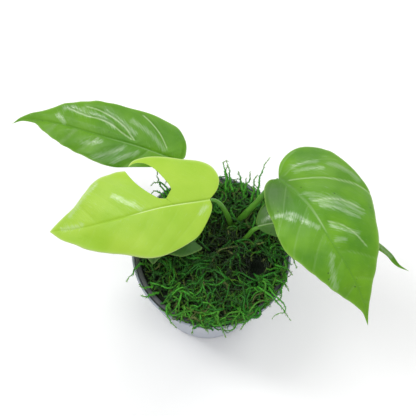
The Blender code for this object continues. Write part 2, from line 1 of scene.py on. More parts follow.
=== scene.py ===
"""Mini monstera in its nested pot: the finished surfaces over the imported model.

Sizes are written in millimetres and turned to metres where a mesh is made. A leaf is drawn
flat, as u along its midrib and v across it, and bent over the midrib's real curve.
"""
import math

import bmesh
import bpy
import numpy as np
from mathutils import Matrix, Vector


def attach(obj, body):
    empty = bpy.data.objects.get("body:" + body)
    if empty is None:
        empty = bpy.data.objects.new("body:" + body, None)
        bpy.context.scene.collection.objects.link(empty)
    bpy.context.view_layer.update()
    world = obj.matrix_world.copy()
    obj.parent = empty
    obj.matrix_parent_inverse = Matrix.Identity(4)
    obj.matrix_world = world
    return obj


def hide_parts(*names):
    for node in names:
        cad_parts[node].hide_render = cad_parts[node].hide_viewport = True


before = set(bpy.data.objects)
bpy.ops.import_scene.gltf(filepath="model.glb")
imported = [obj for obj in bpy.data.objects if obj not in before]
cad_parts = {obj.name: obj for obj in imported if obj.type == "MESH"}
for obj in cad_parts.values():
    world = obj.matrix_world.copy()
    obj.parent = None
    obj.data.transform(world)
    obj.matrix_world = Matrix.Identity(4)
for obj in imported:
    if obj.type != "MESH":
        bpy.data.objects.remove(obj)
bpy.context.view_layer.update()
MM = 0.001

# Camera, light and floor.
# The photograph looks down on the plant at 70 degrees from in front, slightly turned.
# The floor is a plain pale sweep. One wide soft box hangs overhead, and two long narrow
# ones at the left and behind give the gloss on the leaves.
PHOTO_PIXELS = 416
MM_PER_PIXEL = 0.762
SENSOR_WIDTH = 36
CAMERA_TARGET = Vector((-5.8, 33.6, 113.0)) * MM
CAMERA_DISTANCE = 800 * MM
CAMERA_ELEVATION = math.radians(70)
CAMERA_ROLL = math.radians(5.5)


def add_object(name, data):
    """An object that holds the data, linked into the scene."""
    item = bpy.data.objects.new(name, data)
    bpy.context.scene.collection.objects.link(item)
    return item


backwards = Vector((0, -math.cos(CAMERA_ELEVATION), math.sin(CAMERA_ELEVATION)))
level = Vector((1, 0, 0))
upright = backwards.cross(level)
camera_x = math.cos(CAMERA_ROLL) * level + math.sin(CAMERA_ROLL) * upright
camera_y = backwards.cross(camera_x)
camera_data = bpy.data.cameras.new("camera")
camera_data.sensor_width = SENSOR_WIDTH
camera_data.lens = SENSOR_WIDTH * CAMERA_DISTANCE / (PHOTO_PIXELS * MM_PER_PIXEL * MM)
camera_data.clip_start = 0.01
camera = add_object("camera", camera_data)
turn = Matrix((camera_x, camera_y, backwards)).transposed().to_4x4()
camera.matrix_world = Matrix.Translation(CAMERA_TARGET + backwards * CAMERA_DISTANCE) @ turn
bpy.context.scene.camera = camera
bpy.context.scene.view_settings.view_transform = "Standard"


def linear(colour):
    """The linear RGBA of an sRGB hex colour."""
    parts = [int(colour[i:i + 2], 16) / 255 for i in (1, 3, 5)]
    curve = [p / 12.92 if p <= 0.04045 else ((p + 0.055) / 1.055) ** 2.4 for p in parts]
    return (*curve, 1.0)


def new_material(name):
    """An empty node material, its tree and its Principled shader."""
    material = bpy.data.materials.new(name)
    material.use_nodes = True
    return material, material.node_tree, material.node_tree.nodes["Principled BSDF"]


def add_node(tree, kind, settings=None, links=None):
    """A node with its properties and sockets set and its inputs linked."""
    node = tree.nodes.new(kind)
    for key, value in (settings or {}).items():
        if isinstance(key, str) and hasattr(node, key):
            setattr(node, key, value)
        else:
            node.inputs[key].default_value = value
    for key, source in (links or {}).items():
        tree.links.new(source, node.inputs[key])
    return node


def soft_light(name, width, height, power, place, aim):
    """A white soft box at a place, turned to what it lights."""
    data = bpy.data.lights.new(name, "AREA")
    data.shape = "RECTANGLE"
    data.size, data.size_y = width, height
    data.energy = power
    item = add_object(name, data)
    item.location = place
    item.rotation_euler = (Vector(aim) - Vector(place)).to_track_quat("-Z", "Y").to_euler()


soft_light("left_box", 0.22, 0.85, power=5.0, place=(-0.66, 0.14, 1.07), aim=(0, 0, 0.14))
soft_light("back_box", 0.8, 0.22, power=3.2, place=(0.42, 0.85, 0.78), aim=(0, 0, 0.14))
soft_light("top_box", 1.2, 1.2, power=4.6, place=(0.05, -0.1, 1.35), aim=(0, 0, 0.1))
world = bpy.data.worlds.new("studio")
bpy.context.scene.world = world
world.use_nodes = True
world.node_tree.nodes["Background"].inputs["Color"].default_value = (1, 1, 1, 1)
world.node_tree.nodes["Background"].inputs["Strength"].default_value = 0.6

FLOOR_HALF = 3.0
FLOOR_DROP = 0.0005
floor_mesh = bpy.data.meshes.new("floor")
floor_mesh.from_pydata([(x * FLOOR_HALF, y * FLOOR_HALF, -FLOOR_DROP)
                        for x, y in ((-1, -1), (1, -1), (1, 1), (-1, 1))], [], [(0, 1, 2, 3)])
floor = add_object("floor", floor_mesh)
paper, tree, shader = new_material("white_paper_sweep")
shader.inputs["Base Color"].default_value = linear("#FFFFFF")
shader.inputs["Roughness"].default_value = 0.9
floor_mesh.materials.append(paper)

# Outer pot.
# A tapered pot moulded in pale blue-grey polypropylene, satin, with a plain rounded rim.
# The inner pot stands in it on its floor.
POT_RADIUS = 60.0
POT_BASE_RADIUS = 41.5
POT_HEIGHT = 113.0
POT_WALL = 1.8
POT_FLOOR = 2.6
FOOT_ROUND = 1.5
GAP = 0.3
SHARP_ANGLE = math.radians(45)


def polygon_mesh(name, points, faces, material):
    """A mesh piece from arrays: points in mm and a list of face arrays of equal-sided
    polygons, which share the points."""
    mesh = bpy.data.meshes.new(name)
    corners = np.concatenate([part.ravel() for part in faces])
    sizes = np.concatenate([np.full(len(part), part.shape[1]) for part in faces])
    starts = np.concatenate([[0], np.cumsum(sizes)[:-1]])
    mesh.vertices.add(len(points))
    mesh.vertices.foreach_set("co", (np.asarray(points, dtype=np.float32) * MM).ravel())
    mesh.loops.add(len(corners))
    mesh.loops.foreach_set("vertex_index", corners.astype(np.int32))
    mesh.polygons.add(len(sizes))
    mesh.polygons.foreach_set("loop_start", starts.astype(np.int32))
    mesh.polygons.foreach_set("loop_total", sizes.astype(np.int32))
    mesh.update(calc_edges=True)
    mesh.materials.append(material)
    mesh.shade_smooth()
    return add_object(name, mesh)


def round_edge(centre, radius, start, end, count=8):
    """Points of a rounded edge in a turning profile, angles in degrees."""
    angle = np.radians(np.linspace(start, end, count))
    return np.stack([centre[0] + radius * np.cos(angle), centre[1] + radius * np.sin(angle)], 1)


def grid_faces(rows, columns, closed):
    """The squares of a grid whose points are numbered row by row. In a closed grid the last
    column joins the first."""
    row, k = np.meshgrid(np.arange(rows - 1), np.arange(columns - (not closed)), indexing="ij")
    following = (k + 1) % columns
    return np.stack([row * columns + k, (row + 1) * columns + k, (row + 1) * columns + following,
                     row * columns + following], -1).reshape(-1, 4)


def ring_faces(rings, sides):
    """The faces of a closed body of rings: squares from each ring to the next, and a fan in
    the first and in the last ring, whose two middle points come after all rings."""
    k, last, middle = np.arange(sides), (rings - 1) * sides, rings * sides
    following = (k + 1) % sides
    fans = np.concatenate([np.stack([np.full(sides, middle), k, following], -1),
                           np.stack([last + k, np.full(sides, middle + 1), last + following], -1)])
    return [grid_faces(rings, sides, closed=True), fans]


def turned(name, profile, material, steps=180):
    """A closed turned body: each profile point (radius, height) goes round the axis, and
    the profile starts and ends on the axis, its inner floor first and its underside last."""
    profile = np.asarray(profile)
    ring = profile[1:-1]
    angle = 2 * np.pi * np.arange(steps) / steps
    x, y = ring[:, :1] * np.cos(angle), ring[:, :1] * np.sin(angle)
    points = np.stack([x, y, np.repeat(ring[:, 1:], steps, 1)], -1).reshape(-1, 3)
    points = np.concatenate([points, [(0, 0, profile[0, 1]), (0, 0, profile[-1, 1])]])
    item = polygon_mesh(name, points, ring_faces(len(ring), steps), material)
    item.data.set_sharp_from_angle(angle=SHARP_ANGLE)
    return item


def tone_and_relief(tree, shader, low, high, mottle, relief, strength, depth):
    """A colour that goes from low to high with the mottle, and a bump from the relief."""
    tone = add_node(tree, "ShaderNodeMix", {"data_type": "RGBA", 6: linear(low), 7: linear(high)},
                    {0: mottle})
    bump = add_node(tree, "ShaderNodeBump", {"Strength": strength, "Distance": depth},
                    {"Height": relief})
    tree.links.new(tone.outputs[2], shader.inputs["Base Color"])
    tree.links.new(bump.outputs["Normal"], shader.inputs["Normal"])


def pot_radius(height):
    """The outer pot's outer radius on its straight taper."""
    return POT_BASE_RADIUS + (POT_RADIUS - POT_BASE_RADIUS) * height / POT_HEIGHT


pot_plastic, tree, shader = new_material("moulded_polypropylene_blue_grey")
# Satin moulded plastic: a fine spark-eroded grain, a slow change of tone and a soft sheen
place = add_node(tree, "ShaderNodeTexCoord").outputs["Object"]
cloud = add_node(tree, "ShaderNodeTexNoise", {"Scale": 14.0, "Detail": 4.0}, {"Vector": place})
grain = add_node(tree, "ShaderNodeTexNoise", {"Scale": 1600.0, "Detail": 2.0}, {"Vector": place})
tone_and_relief(tree, shader, "#8E95A3", "#A6ACB8", cloud.outputs["Fac"], grain.outputs["Fac"],
                strength=0.12, depth=0.0002)
shader.inputs["Roughness"].default_value = 0.38
shader.inputs["IOR"].default_value = 1.49

edge = POT_WALL / 2
inside = pot_radius(POT_FLOOR) - POT_WALL
profile = np.concatenate([
    [(0, POT_FLOOR), (inside - 1.2, POT_FLOOR), (inside - 0.2, POT_FLOOR + 0.5)],
    round_edge((POT_RADIUS - edge, POT_HEIGHT - edge), edge, 180, 0),
    [(pot_radius(POT_HEIGHT - 8), POT_HEIGHT - 8), (pot_radius(60), 60)],
    round_edge((POT_BASE_RADIUS - FOOT_ROUND, FOOT_ROUND), FOOT_ROUND, -10, -90),
    [(POT_BASE_RADIUS - 6, 0), (0, 0)]])
outer_pot = turned("outer_pot_shell", profile, pot_plastic)
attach(outer_pot, "root")
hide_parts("outer_pot")

# Inner pot.
# The grower's pot of charcoal recycled polypropylene, with a rounded lip that fills the
# outer pot's mouth and drain holes in its floor.
LINER_PLAY = 1.4
LINER_WALL = 1.2
LINER_LIP_WIDTH = 4.0
LINER_LIP_DEPTH = 5.0
LIP_ROUND = 1.2
DRAIN_RADIUS = 4.0
DRAIN_CIRCLE = 22.0
DRAIN_COUNT = 6


def liner_radius(height):
    """The inner pot's outer radius, with its play inside the outer pot."""
    return pot_radius(height) - POT_WALL - LINER_PLAY


liner_plastic, tree, shader = new_material("moulded_recycled_polypropylene_charcoal")
# Recycled plastic: charcoal with cloudy greyer patches and a fine matte grain
place = add_node(tree, "ShaderNodeTexCoord").outputs["Object"]
cloud = add_node(tree, "ShaderNodeTexNoise", {"Scale": 60.0, "Detail": 5.0}, {"Vector": place})
grain = add_node(tree, "ShaderNodeTexNoise", {"Scale": 1200.0, "Detail": 2.0}, {"Vector": place})
tone_and_relief(tree, shader, "#323537", "#54575A", cloud.outputs["Fac"], grain.outputs["Fac"],
                strength=0.2, depth=0.0002)
shader.inputs["Roughness"].default_value = 0.5
shader.inputs["IOR"].default_value = 1.49

lip_outer = POT_RADIUS - POT_WALL - GAP
lip_inner = lip_outer - LINER_LIP_WIDTH
lip_bottom = POT_HEIGHT - LINER_LIP_DEPTH
liner_floor = POT_FLOOR + GAP
floor_radius = liner_radius(liner_floor)
seat = liner_radius(lip_bottom)
profile = np.concatenate([
    [(0, liner_floor + LINER_WALL), (floor_radius - LINER_WALL, liner_floor + LINER_WALL),
     (seat - LINER_WALL - 0.4, lip_bottom - 1.5)],
    round_edge((lip_inner + LIP_ROUND, POT_HEIGHT - LIP_ROUND), LIP_ROUND, 180, 90),
    round_edge((lip_outer - LIP_ROUND, POT_HEIGHT - LIP_ROUND), LIP_ROUND, 90, 0),
    [(min(pot_radius(lip_bottom) - POT_WALL - GAP, lip_outer), lip_bottom),
     (seat, lip_bottom - 0.6), (floor_radius, liner_floor), (0, liner_floor)]])
inner_pot = turned("inner_pot_shell", profile, liner_plastic)
cutters = bmesh.new()
for i in range(DRAIN_COUNT):
    turn = 2 * math.pi * i / DRAIN_COUNT
    spot = Vector((DRAIN_CIRCLE * math.cos(turn), DRAIN_CIRCLE * math.sin(turn), liner_floor)) * MM
    bmesh.ops.create_cone(cutters, cap_ends=True, segments=32, radius1=DRAIN_RADIUS * MM,
                          radius2=DRAIN_RADIUS * MM, depth=4 * LINER_WALL * MM,
                          matrix=Matrix.Translation(spot))
drain_mesh = bpy.data.meshes.new("drain_cutters")
cutters.to_mesh(drain_mesh)
cutters.free()
drains = add_object("drain_cutters", drain_mesh)
boring = inner_pot.modifiers.new("drains", "BOOLEAN")
boring.operation, boring.solver, boring.object = "DIFFERENCE", "EXACT", drains
bored = bpy.data.meshes.new_from_object(
    inner_pot.evaluated_get(bpy.context.evaluated_depsgraph_get()))
inner_pot.modifiers.clear()
inner_pot.data = bored
bpy.data.objects.remove(drains)
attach(inner_pot, "root")
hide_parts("inner_pot")

# Potting soil.
# Peat and bark crumb under the moss, seen only through gaps in it.
SOIL_TOP = 103.0


def inside_radius(height):
    """The radius that the soil and the moss fill in the inner pot."""
    return liner_radius(height) - LINER_WALL - GAP


peat, tree, shader = new_material("peat_and_bark_crumb")
# Damp peat: nearly black with brown crumbs of 1 to 2 mm
place = add_node(tree, "ShaderNodeTexCoord").outputs["Object"]
crumb = add_node(tree, "ShaderNodeTexVoronoi", {"Scale": 600.0}, {"Vector": place})
tone_and_relief(tree, shader, "#2B1E14", "#0E0A07", crumb.outputs["Distance"],
                crumb.outputs["Distance"], strength=0.8, depth=0.001)
shader.inputs["Roughness"].default_value = 0.95

soil_floor = POT_FLOOR + LINER_WALL + 2 * GAP
rise = np.linspace(0.02, 1, 30)
crumbs = 0.5 * np.sin(rise * 71) - 0.8
profile = np.concatenate([
    [(0, SOIL_TOP - 0.5)], np.stack([rise * (inside_radius(SOIL_TOP) - 0.5), SOIL_TOP + crumbs], 1),
    [(inside_radius(soil_floor) - 0.2, soil_floor), (0, soil_floor)]])
soil = turned("potting_soil_crumb", profile, peat, 120)
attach(soil, "root")
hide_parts("potting_soil")

# Leaf blades.
# Five blades of one plant, each grown on the end of its petiole. Four have sunken side
# veins, and three of these a waxy gloss. The newest is lime green, thin and smooth, and
# has one slot open to its edge.
BLADE_THICKNESS = 0.5
BLADE_EDGE_SHARE = 0.45
ARCH_SPAN = 30.0
LOBE_SHARE = 0.34
SLOT_FOOT = 27.0
MARGIN_WAVE = 0.17
VEIN_LEAN = 0.55
VEIN_CURVE = 0.016
BULGE_SPREAD = 5.0
RIPPLE_HEIGHT = 0.55
PUCKER_HEIGHT = 0.05
CREASE_DEPTH, CREASE_WIDTH = 0.35, 0.9
SIDE_GROOVE_DEPTH, SIDE_GROOVE_WIDTH = 0.12, 0.7
MIDRIB_GROOVE_DEPTH, MIDRIB_GROOVE_WIDTH = 0.55, 0.8
KEEL_DEPTH, KEEL_WIDTH = 1.1, 1.3
# Width of the wax streaks, which also carry a painted pale sheen
WAX_AND_SHEEN_WIDTH = 2.3
LEAF_ROWS = 170
LEAF_STEPS = 44
# In each leaf, shade lists spots of painted shade (u, v, radius, strength) on parts that lie in
# shadow, and the wax streaks also carry a painted pale sheen.
LEAVES = {
    "leaf_upper_left": {
        "midrib": [(-32, 58, 143), (-60, 63, 150), (-90, 68, 152), (-125, 78, 144),
                   (-152, 83.5, 133), (-161, 82, 127)],
        "face": (0.1, -0.25, 1), "fold": (0, 0), "arch": (4, 4), "rib": (0.15, 0, 60),
        "wax_and_sheen": [[(12, -4), (26, -12), (40, -17)], [(36, -8), (50, -15), (62, -18)],
                [(52, -9), (66, -14), (80, -16)], [(74, -12), (88, -13)], [(86, -15), (94, -12)],
                [(30, 5), (40, 12), (46, 17)], [(42, 5), (52, 12), (60, 17)], [(58, 4), (70, 9)],
                [(90, -2), (98, -7)]],
        "shade": [(45, 0, 50, 0.24), (95, 0, 40, 0.2)],
        "right": [(0, 0), (-4.5, -3), (-4, -10), (-1, -16.5), (5.5, -22.3), (13, -24.7),
                  (31.7, -26.2), (58, -26.1), (74, -24.6), (85.4, -20.4), (99, -14.3),
                  (108, -8.9), (124, -3.4), (138, 0.3)],
        "left": [(0, 0), (-3.5, 2.5), (-2, 6), (4, 8), (12, 9), (20, 11), (28, 14.1),
                 (38, 18.2), (44.3, 20), (51.4, 20.4), (58.5, 19.4), (75, 17), (89, 14.2),
                 (104, 8.8), (115.5, 3), (129, 1.2), (138, 0.3)],
        "creases": [
            [(10.5, -6.1), (17.7, -13.5), (26.9, -19.9), (33.6, -23.5)],
            [(35, -3.2), (43.1, -10.3), (53, -15.1), (68.1, -18.3), (79.7, -18.5)],
            [(36.6, -3.3), (43.9, -5.9), (54.7, -10.4), (65.3, -11.9), (76.6, -11.5), (90.8, -13.1)],
        ],
        "side_veins": [(1, 60, 78, 96, 114), (1, 4, 22, 40, 60, 80, 98, 116)], "quilt": 1.35,
    },
    "leaf_right": {
        "midrib": [(42, 38, 175), (62, 20, 180), (80, -4, 178), (96, -23, 170),
                   (109, -40, 155), (115, -53, 141)],
        "face": (0.25, -0.25, 1), "fold": (-0.08, -0.2), "arch": (5, 5), "rib": (1.0, 22, 54),
        "wax_and_sheen": [[(0, 14), (2, 22), (7, 31)], [(4, 13), (9, 22), (14, 29)],
                [(14, 36), (22, 43), (30, 48)],
                [(22, 4), (29, 12), (36, 24), (46, 34)], [(27, 5), (34, 15), (44, 28), (54, 34)],
                [(34, 8), (42, 19), (54, 29)], [(50, 6), (57, 13), (66, 21)], [(60, 4), (64, 9)],
                [(17, -22), (25, -14), (32, -11)], [(30, -11), (38, -8), (47, -3)],
                [(24, -17), (33, -14)], [(74, -9), (82, -12), (90, -14)], [(68, -5), (72, -8)]],
        "shade": [(4, -9, 15, 1.0), (12, 32, 24, 0.25)],
        "left": [(0, 0), (-5, 4.9), (-9.2, 11.3), (-11.3, 20.3), (-11, 28.5), (-8.2, 36.3),
                 (-3, 42.5), (4, 46), (13, 47.8), (28.3, 51), (36, 51.8), (45, 49.6),
                 (59.6, 44.5), (71.4, 38.5), (79.7, 33.5), (87.2, 27), (95.8, 18.3),
                 (104.5, 9.5), (114.6, 3.4), (130.2, 0)],
        "right": [(0, 0), (-4.4, -5), (-4, -10), (-0.5, -14.3), (5.5, -19.3), (13.3, -23.4),
                  (22, -25.7), (37.5, -28.6), (48.8, -28.8), (60.2, -25.6), (74.4, -21.2),
                  (90.1, -16.4), (100.6, -11.5), (110.7, -6.4), (117.8, -2.8), (130.2, 0)],
        "creases": [
            [(6.1, 4.2), (11.1, 11.2), (17, 19.6), (25.3, 32.5), (33.2, 45.5), (40.9, 51.1)],
            [(28.8, 5.1), (32.9, 17), (39.3, 27.8), (50.6, 36.8)],
            [(46.7, 6), (50.7, 12), (61.6, 18.1), (76.6, 21.5)],
        ],
        "faint_creases": [[(1, 5), (0, 16), (5, 30), (14, 44)], [(-3, 4), (-8, 14), (-10, 26)]],
        "side_veins": [(-1, 8, 30, 52, 74, 94), (1, 68, 90, 110)], "quilt": 1.15,
    },
    "leaf_lower_right": {
        "midrib": [(32, 13, 140), (41, 14, 146), (61, 16, 150), (91, 14, 146), (122, 9, 135),
                   (130, 5, 130), (138, -1, 125), (147, -4, 122)],
        "face": (0.1, -0.1, 1), "fold": (0, -0.25), "arch": (4, 4), "rib": (0.5, 0, 60),
        "wax_and_sheen": [[(5, 3), (14, 7)], [(88, 0), (100, 0), (108, 0)]],
        "shade": [(5, 0, 40, 1.0), (40, 0, 40, 1.0)],
        "left": [(0, 0), (-1.1, 3.8), (2.1, 11), (6.5, 15.1), (16, 20.5), (30, 23), (46, 21.5),
                 (62, 16), (76, 9), (87, 4), (97, 1.8), (110, 1.8), (127, 0)],
        "right": [(0, 0), (5, -1), (12, -1.4), (18, -3), (25, -8), (34, -15), (46, -18.5),
                  (62, -15), (78, -8), (90, -4), (100, -2.4), (114, -1.6), (127, 0)],
        "creases": [],
        "side_veins": [(-1, 14, 32, 50, 70), (1, 2, 14, 30, 48, 68)], "quilt": 0.7,
    },
    "leaf_lower_left": {
        "midrib": [(-13.8, 0.4, 133), (-20.7, -4.4, 136), (-28.1, -7.5, 135), (-35.9, -9.5, 131.5),
                   (-40.8, -12.4, 127), (-42.4, -17.8, 121.5)],
        "face": (-0.2, -0.2, 1), "fold": (0, 0), "arch": (3, 3), "rib": (0.2, 0, 30),
        "wax_and_sheen": [], "shade": [],
        "left": [(0, 0), (0.2, 3.6), (-2.9, 7.6), (-1, 8.9), (2.6, 9), (7.5, 8.9), (12.5, 8.4),
                 (16.9, 6.5), (20.6, 4.4), (26, 3.8), (32.3, 3.8), (38.2, 2), (41.2, 0)],
        "right": [(0, 0), (0.5, -3), (3, -6.5), (10, -9.5), (18, -10.5), (26, -9.5), (33, -7.5),
                  (37.5, -5), (39.6, -2.6), (41.2, 0)],
        "creases": [],
        "side_veins": [(-1, 2, 9, 17, 26), (1, 2, 9, 17, 26)], "quilt": 0.3,
    },
    "leaf_lime": {
        "midrib": [(-5, 23, 161), (-39, 12, 165), (-71, 1, 160), (-98, -5, 149),
                   (-118, -6, 140)],
        "face": (0.05, -0.15, 1), "fold": (0, 0), "arch": (3, 3), "rib": (0.75, 0, 62),
        "wax_and_sheen": [[(50, -2), (58, -9), (68, -17)], [(54, -7), (62, -12)],
                [(84, -27), (94, -20), (106, -10)], [(80, -29), (90, -24)], [(96, -2), (112, -1)],
                [(4, 5), (9, 9)]],
        "shade": [],
        "left": [(0, 0), (-0.4, 6), (4.2, 14.6), (13.5, 25.2), (29.8, 31.6), (45.8, 33.9),
                 (57, 31.8), (68.3, 26.3), (82.8, 21.2), (94.7, 16), (102.6, 11.1),
                 (113.7, 6.2), (122.6, 0.2)],
        "hook": [(0, 0), (-6.5, -6.2), (-9.6, -14), (-6.4, -23.5), (1, -29), (14.5, -33),
                 (25, -36.2), (38, -38.9), (47.5, -38.3), (51.6, -35.1)],
        "slot_back": [(31.5, -5.2), (27.2, -8), (26.6, -13), (30.6, -21.9), (35.3, -29.6),
                      (40, -34.3), (46, -36.3), (51.6, -35.1)],
        "slot_front": [(31.5, -5.2), (38.8, -7.8), (44.5, -14.2), (50.5, -23.6), (54.5, -32.7)],
        "tail": [(54.5, -32.7), (61, -33.7), (68.2, -33.3), (76, -32.9), (84.3, -30),
                 (90, -25.6), (100.4, -17.2), (108.5, -12), (115.2, -6.6), (122.6, 0.2)],
        "creases": [],
        "side_veins": [(-1, 42, 62, 84), (1, 4, 22, 42, 62, 84)], "quilt": 0.35,
    },
}


def blend(t, start, end, p, q):
    """The straight way from p, where t is at the start, to q, where it is at the end."""
    return p * (end - t) / (end - start) + q * (t - start) / (end - start)


def through(points, per_span=24):
    """A smooth curve through all points: centripetal Catmull-Rom, span by span."""
    points = np.asarray(points, dtype=float)
    padded = np.concatenate([[2 * points[0] - points[1]], points, [2 * points[-1] - points[-2]]])
    spans = []
    for i in range(len(points) - 1):
        a, b, c, d = padded[i:i + 4]
        steps = [max(np.linalg.norm(q - p), 1e-6) ** 0.5 for p, q in ((a, b), (b, c), (c, d))]
        k0, k1, k2, k3 = np.concatenate([[0.0], np.cumsum(steps)])
        t = np.linspace(k1, k2, per_span, endpoint=False)[:, None]
        ab, bc, cd = blend(t, k0, k1, a, b), blend(t, k1, k2, b, c), blend(t, k2, k3, c, d)
        abc, bcd = blend(t, k0, k2, ab, bc), blend(t, k1, k3, bc, cd)
        spans.append(blend(t, k1, k2, abc, bcd))
    return np.concatenate([*spans, points[-1:]])


def lengths(line):
    """The length along a line at each of its points."""
    return np.concatenate([[0.0], np.cumsum(np.linalg.norm(np.diff(line, axis=0), axis=1))])


def along(line, fractions):
    """The points of a line at fractions of its length."""
    at = lengths(line)
    return np.stack([np.interp(fractions * at[-1], at, line[:, k])
                     for k in range(line.shape[1])], -1)


def unit(vectors):
    """The vectors brought to length one."""
    return vectors / np.linalg.norm(vectors, axis=-1, keepdims=True)


def hump(distance, width):
    """One on a line, and less by a bell curve of this width with the distance from it."""
    return np.exp(-(distance / width) ** 2)


def write_marks(item, marks):
    """Keep one number a point under each name, for the material to read."""
    for key, value in marks.items():
        layer = item.data.attributes.new(key, "FLOAT", "POINT")
        layer.data.foreach_set("value", value.astype(np.float32))


def midrib_length(leaf):
    """How long a leaf's midrib is along its curve."""
    return lengths(through(leaf["midrib"]))[-1]


def bend(leaf, u, v, height):
    """The leaf's place in space: the midrib's point at u, plus v to its side, plus the
    fold and arch of its half and the height, all in the midrib's own frame."""
    line = through(leaf["midrib"])
    at = lengths(line)
    inside = np.clip(u, 0, at[-1])
    index = np.clip(np.searchsorted(at, inside, side="right") - 1, 0, len(at) - 2)
    before, after = line[np.maximum(index - 2, 0)], line[np.minimum(index + 3, len(at) - 1)]
    direction = unit(after - before)
    point = np.stack([np.interp(inside, at, line[:, k]) for k in range(3)], -1)
    point = point + direction * (u - inside)[..., None]
    side = unit(np.cross(np.array(leaf["face"], dtype=float), direction))
    up = np.cross(direction, side)
    left = v > 0
    fold = np.where(left, leaf["fold"][0], leaf["fold"][1])
    arch = np.where(left, leaf["arch"][0], leaf["arch"][1])
    rise = fold * np.abs(v) - arch * (v / ARCH_SPAN) ** 2 + height
    return point + side * v[..., None] + up * rise[..., None]


def foot_rail(feet, outer):
    """The rail on the midrib: one foot for each row, the last of them at the tip."""
    feet[-1] = outer[-1, 0]
    return np.stack([feet, np.zeros_like(feet)], -1)


def half_rails(leaf, outline):
    """The two rails of a plain half: its grid rows run from the midrib to the edge, and the
    rows of the basal lobe all start at the petiole. The edge waves a little sideways."""
    part = np.linspace(0, 1, LEAF_ROWS)
    outer = along(through(outline), part)
    wave = (MARGIN_WAVE * leaf["quilt"] * np.sqrt(np.sin(np.pi * part))
            * np.sin(62 * part + 3 * np.sin(9 * part)))
    outer[:, 1] += np.sign(outer[:, 1].mean()) * wave
    reach = midrib_length(leaf)
    feet = reach * np.clip((part - LOBE_SHARE) / (1 - LOBE_SHARE), 0, 1) ** 1.8
    return foot_rail(feet, outer), outer, 1.8


def slot_rails(leaf):
    """The rails of the slotted half, as two patches that meet along a line from the midrib
    to the slot's inner end: the hooked basal lobe, and the rest up to the tip."""
    part = np.linspace(0, 1, LEAF_ROWS)
    hook = along(through(leaf["hook"]), part)
    inner_line = np.concatenate([[(0.0, 0.0), (SLOT_FOOT, 0.0)], through(leaf["slot_back"])])
    at = lengths(inner_line)
    inner = along(inner_line, np.interp(part, [0, 0.3, 0.51, 1], [0, 0.06, at[2] / at[-1], 1]))
    edge_line = np.concatenate([through(leaf["slot_front"]), through(leaf["tail"])[1:]])
    outer = along(edge_line, part)
    reach = midrib_length(leaf)
    feet = SLOT_FOOT + (reach - SLOT_FOOT) * part ** 1.4
    return [(inner, hook, 1.0), (foot_rail(feet, outer), outer, 1.5)]


def side_vein_lines(leaf):
    """All side veins of a leaf: the ones drawn for it, and plain ones that leave the midrib
    and lean towards the tip, more so the further out."""
    lines = [through(route, 6) for route in leaf["creases"] + leaf.get("faint_creases", [])]
    out = np.linspace(0.5, 50, 26)
    for side, *starts in leaf["side_veins"]:
        for start in starts:
            lines.append(np.stack([start + VEIN_LEAN * out + VEIN_CURVE * out ** 2, side * out], -1))
    return lines


def from_lines(u, v, lines):
    """The distance of every grid point to the nearest of the lines."""
    nearest = np.full(u.shape, 1e3)
    for line in lines:
        start, step = line[:-1], np.diff(line, axis=0)
        pu, pv = u[..., None] - start[:, 0], v[..., None] - start[:, 1]
        share = np.clip((pu * step[:, 0] + pv * step[:, 1]) / (step ** 2).sum(1), 0, 1)
        gap = np.hypot(pu - share * step[:, 0], pv - share * step[:, 1])
        nearest = np.minimum(nearest, gap.min(-1))
    return nearest


